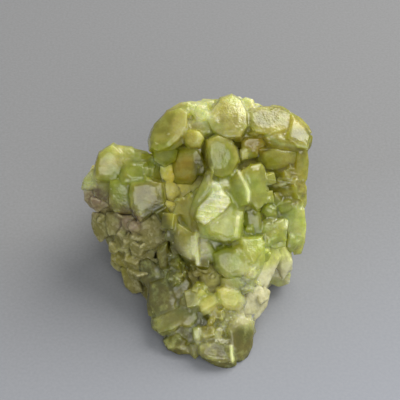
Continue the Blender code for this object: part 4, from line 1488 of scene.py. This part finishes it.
@dataclass
class MatrixRock:
    """The granular matrix, regrown finely from its solid.

    Attributes:
        finish: its material.
        crusts: the lumps and grains strewn on it.
        grain: the size of the mesh's faces in millimetres.
        swell: how far it is swollen to round off its edges, in millimetres.
        pits: how deep the pits between its grains are, in millimetres.
        pit_size: how wide they are, in millimetres.
        kept: the share of the mesh's faces that is kept at the end.
    """

    finish: GranularMatrix = field(default_factory=GranularMatrix)
    crusts: tuple[Crust, ...] = (
        Crust(300, (2.5, 5.0), stray=0.35, sunk=0.82, habits=TABLETS),
        Crust(500, (1.6, 3.2), stray=0.8, sunk=0.62),
        Crust(1200, (0.7, 1.5), stray=0.9),
    )
    grain: float = 0.33
    swell: float = 0.22
    pits: float = 0.18
    pit_size: float = 1.1
    kept: float = 0.46

    def build(self) -> bpy.types.Object:
        """Build the matrix and dress it.

        Returns:
            The finished piece.
        """
        piece = copy_of_solid("matrix", "matrix_grown")
        dice = random.Random("matrix")
        grown = [tip for crust in self.crusts for tip in strew(piece, crust, dice)]
        apply_modifier(piece, "REMESH", mode="VOXEL", voxel_size=self.grain * MM)
        apply_modifier(piece, "DISPLACE", strength=self.swell * MM, mid_level=0.0)
        apply_modifier(
            piece,
            "DISPLACE",
            texture=texture("matrix_grit", "VORONOI", self.pit_size),
            strength=-self.pits * MM,
            mid_level=0.4,
            texture_coords="LOCAL",
        )
        apply_modifier(piece, "DECIMATE", ratio=self.kept)
        dress(piece, "matrix", self.finish, Spot(((0.0, 0.0),), Tint.SUGAR, 0.9), grown)
        return piece


def dress(
    piece: bpy.types.Object,
    node: str,
    finish: Brazilianite | GranularMatrix,
    base: Spot,
    grown: list[tuple[Vector, float, float]],
) -> None:
    """Colour a shaped piece, give it its material, and put it in its solid's place.

    Args:
        piece: the object.
        node: the CAD node that it stands for.
        finish: its material.
        base: its tint away from the display face.
        grown: each strewn crystal's tip, its reach in metres, and its tone.
    """
    settle(piece)
    colour_growth(piece, base, grown)
    piece.data.materials.append(finish.make())
    piece.data.shade_smooth()
    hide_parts(node)
    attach(piece, "root")


@dataclass(frozen=True)
class SoftLight:
    """A square soft light that looks at the cluster.

    Attributes:
        name: the light's name.
        place: where it is, in metres.
        size: its side, in metres.
        power: its power in watts.
        colour: its colour.
    """

    name: str
    place: tuple[float, float, float]
    size: float
    power: float
    colour: str

    def build(self) -> None:
        """Add the light."""
        bpy.ops.object.light_add(type="AREA", location=self.place)
        lamp = bpy.context.active_object
        lamp.name = self.name
        lamp.data.size = self.size
        lamp.data.energy = self.power
        lamp.data.color = linear(self.colour)[:3]
        towards = Vector(self.place) - DISPLAY_CENTRE
        lamp.rotation_euler = towards.to_track_quat("Z", "Y").to_euler()


@dataclass
class Studio:
    """The floor, the lights and the camera.

    Attributes:
        floor: the side of the floor in metres.
        lights: the lights.
        sky: the colour of the light from all around.
        sky_strength: its strength.
        lens: the camera's lens in millimetres.
        sensor: the camera's sensor in millimetres.
    """

    floor: float = 1.6
    lights: tuple[SoftLight, ...] = (
        SoftLight("key", (0.44, 0.30, 0.66), 0.70, 8.6, "#FFFCF6"),
        SoftLight("fill", (0.12, -0.60, 0.52), 0.60, 3.2, "#FFFEFA"),
    )
    sky: str = "#E4E5E6"
    sky_strength: float = 0.56
    lens: float = 106.6
    sensor: float = 36.0

    def build(self) -> None:
        """Set up the floor, lights, world and camera."""
        bpy.ops.object.select_all(action="DESELECT")
        # Just under the cluster, so that the two never share a plane.
        bpy.ops.mesh.primitive_plane_add(size=self.floor, location=(0, 0, -0.02 * MM))
        floor = bpy.context.active_object
        floor.name = "floor"
        bpy.ops.object.mode_set(mode="EDIT")
        bpy.ops.mesh.subdivide(number_cuts=3)
        bpy.ops.object.mode_set(mode="OBJECT")
        floor.data.materials.append(PaperSheet().make())
        for light in self.lights:
            light.build()
        world = bpy.data.worlds.new("studio")
        world.use_nodes = True
        background = world.node_tree.nodes["Background"]
        background.inputs["Color"].default_value = linear(self.sky)
        background.inputs["Strength"].default_value = self.sky_strength
        bpy.context.scene.world = world
        bpy.ops.object.camera_add(
            location=DISPLAY_CENTRE + OUTWARD * VIEW_DISTANCE,
            rotation=(math.pi / 2 - DISPLAY_TILT, 0, 0),
        )
        camera = bpy.context.active_object
        camera.data.lens = self.lens
        camera.data.sensor_width = self.sensor
        camera.data.clip_start = 0.01
        bpy.context.scene.camera = camera
        bpy.context.scene.view_settings.view_transform = "Standard"


def main() -> None:
    """Build the studio and every piece of the cluster."""
    logging.basicConfig(level=logging.INFO, format="%(message)s")
    Studio().build()
    pale = Spot(((0.0, 0.0),), Tint.KHAKI, 0.35)
    green = Spot(((0.0, 0.0),), Tint.FRESH, 0.25)
    groups = (
        GrownCrystals(
            "crown_crystals",
            Brazilianite("honey_olive_crystal"),
            pale,
            (
                Crust(170, (2.2, 4.5), stray=0.3, sunk=0.8, habits=TABLETS),
                Crust(90, (1.6, 3.0), stray=0.5, sunk=0.7),
                Crust(260, (0.8, 1.8), sunk=0.6),
                Crust(200, (0.6, 1.3), (18.5, 20.5), 6.5),
                Crust(110, (0.6, 1.3), (-5.0, 20.0), 3.5),
                Crust(130, (0.7, 1.6), (1.0, 20.5), 4.5),
                Crust(70, (0.7, 1.5), (12.5, 25.0), 3.5),
                Crust(90, (0.6, 1.3), (7.0, 20.0), 5.0, sunk=0.5),
                Crust(120, (0.6, 1.3), (25.0, 16.0), 5.0, sunk=0.5),
                Crust(80, (0.6, 1.2), (-6.0, 14.5), 5.0, sunk=0.5),
            ),
            CROWN_BLADES,
            kept=0.50,
        ),
        GrownCrystals(
            "recess_crystals",
            Brazilianite("honey_crystal", clear=0.3),
            pale,
            (Crust(30, (0.8, 2.0)), Crust(50, (0.5, 1.1), (0.6, 8.8), 2.0)),
            RECESS_BLADES,
        ),
        GrownCrystals(
            "centre_crystals",
            Brazilianite("yellow_green_crystal"),
            green,
            (
                Crust(110, (2.2, 4.5), stray=0.3, sunk=0.8, habits=TABLETS),
                Crust(110, (1.4, 2.8), sunk=0.62),
                Crust(220, (0.7, 1.5), sunk=0.55),
                Crust(70, (0.6, 1.2), (9.8, -6.0), 2.6, sunk=0.5),
                Crust(50, (0.6, 1.1), (11.5, 4.5), 2.4, sunk=0.5),
                Crust(120, (0.6, 1.3), (11.0, -15.0), 7.0, sunk=0.5),
                Crust(60, (0.6, 1.2), (3.0, 9.0), 4.0, sunk=0.5),
            ),
            CENTRE_BLADES,
            kept=0.9,
        ),
        GrownCrystals(
            "shoulder_crystals",
            Brazilianite("green_crystal"),
            green,
            (
                Crust(70, (3.0, 5.5), stray=0.25, sunk=0.84, habits=TABLETS),
                Crust(60, (1.5, 3.2), sunk=0.6),
                Crust(90, (0.8, 1.6), sunk=0.55),
                Crust(180, (0.6, 1.3), (-19.0, 5.0), 13.0, sunk=0.5),
            ),
            SHOULDER_BLADES,
        ),
        GrownCrystals(
            "foot_crystals",
            Brazilianite("pale_olive_crystal", clear=0.3),
            pale,
            (
                Crust(130, (2.2, 4.5), stray=0.3, sunk=0.8, habits=TABLETS),
                Crust(140, (1.4, 3.0), sunk=0.62),
                Crust(300, (0.7, 1.5), sunk=0.55),
                Crust(380, (0.6, 1.3), (2.0, -30.0), 17.0, sunk=0.5),
            ),
            FOOT_BLADES,
        ),
        GrownCrystals(
            "knob_crystal",
            Brazilianite("grey_green_crystal", clear=0.3),
            green,
            (Crust(10, (0.8, 2.0)),),
        ),
        GrownCrystals(
            "right_flank_crystals", Brazilianite("flank_crystal"), green, (Crust(60, (1.0, 3.0)),)
        ),
        GrownCrystals(
            "back_crystals", Brazilianite("back_crystal"), green, (Crust(80, (1.0, 3.0)),)
        ),
        GrownCrystals(
            "left_back_crystals",
            Brazilianite("left_back_crystal", clear=0.2, glow=0.8),
            green,
            (Crust(50, (1.0, 3.0)),),
        ),
        MatrixRock(),
    )
    for group in groups:
        piece = group.build()
        LOG.info("%s: %d faces", piece.name, len(piece.data.polygons))
    bpy.context.view_layer.update()


if __name__ == "__main__":
    main()
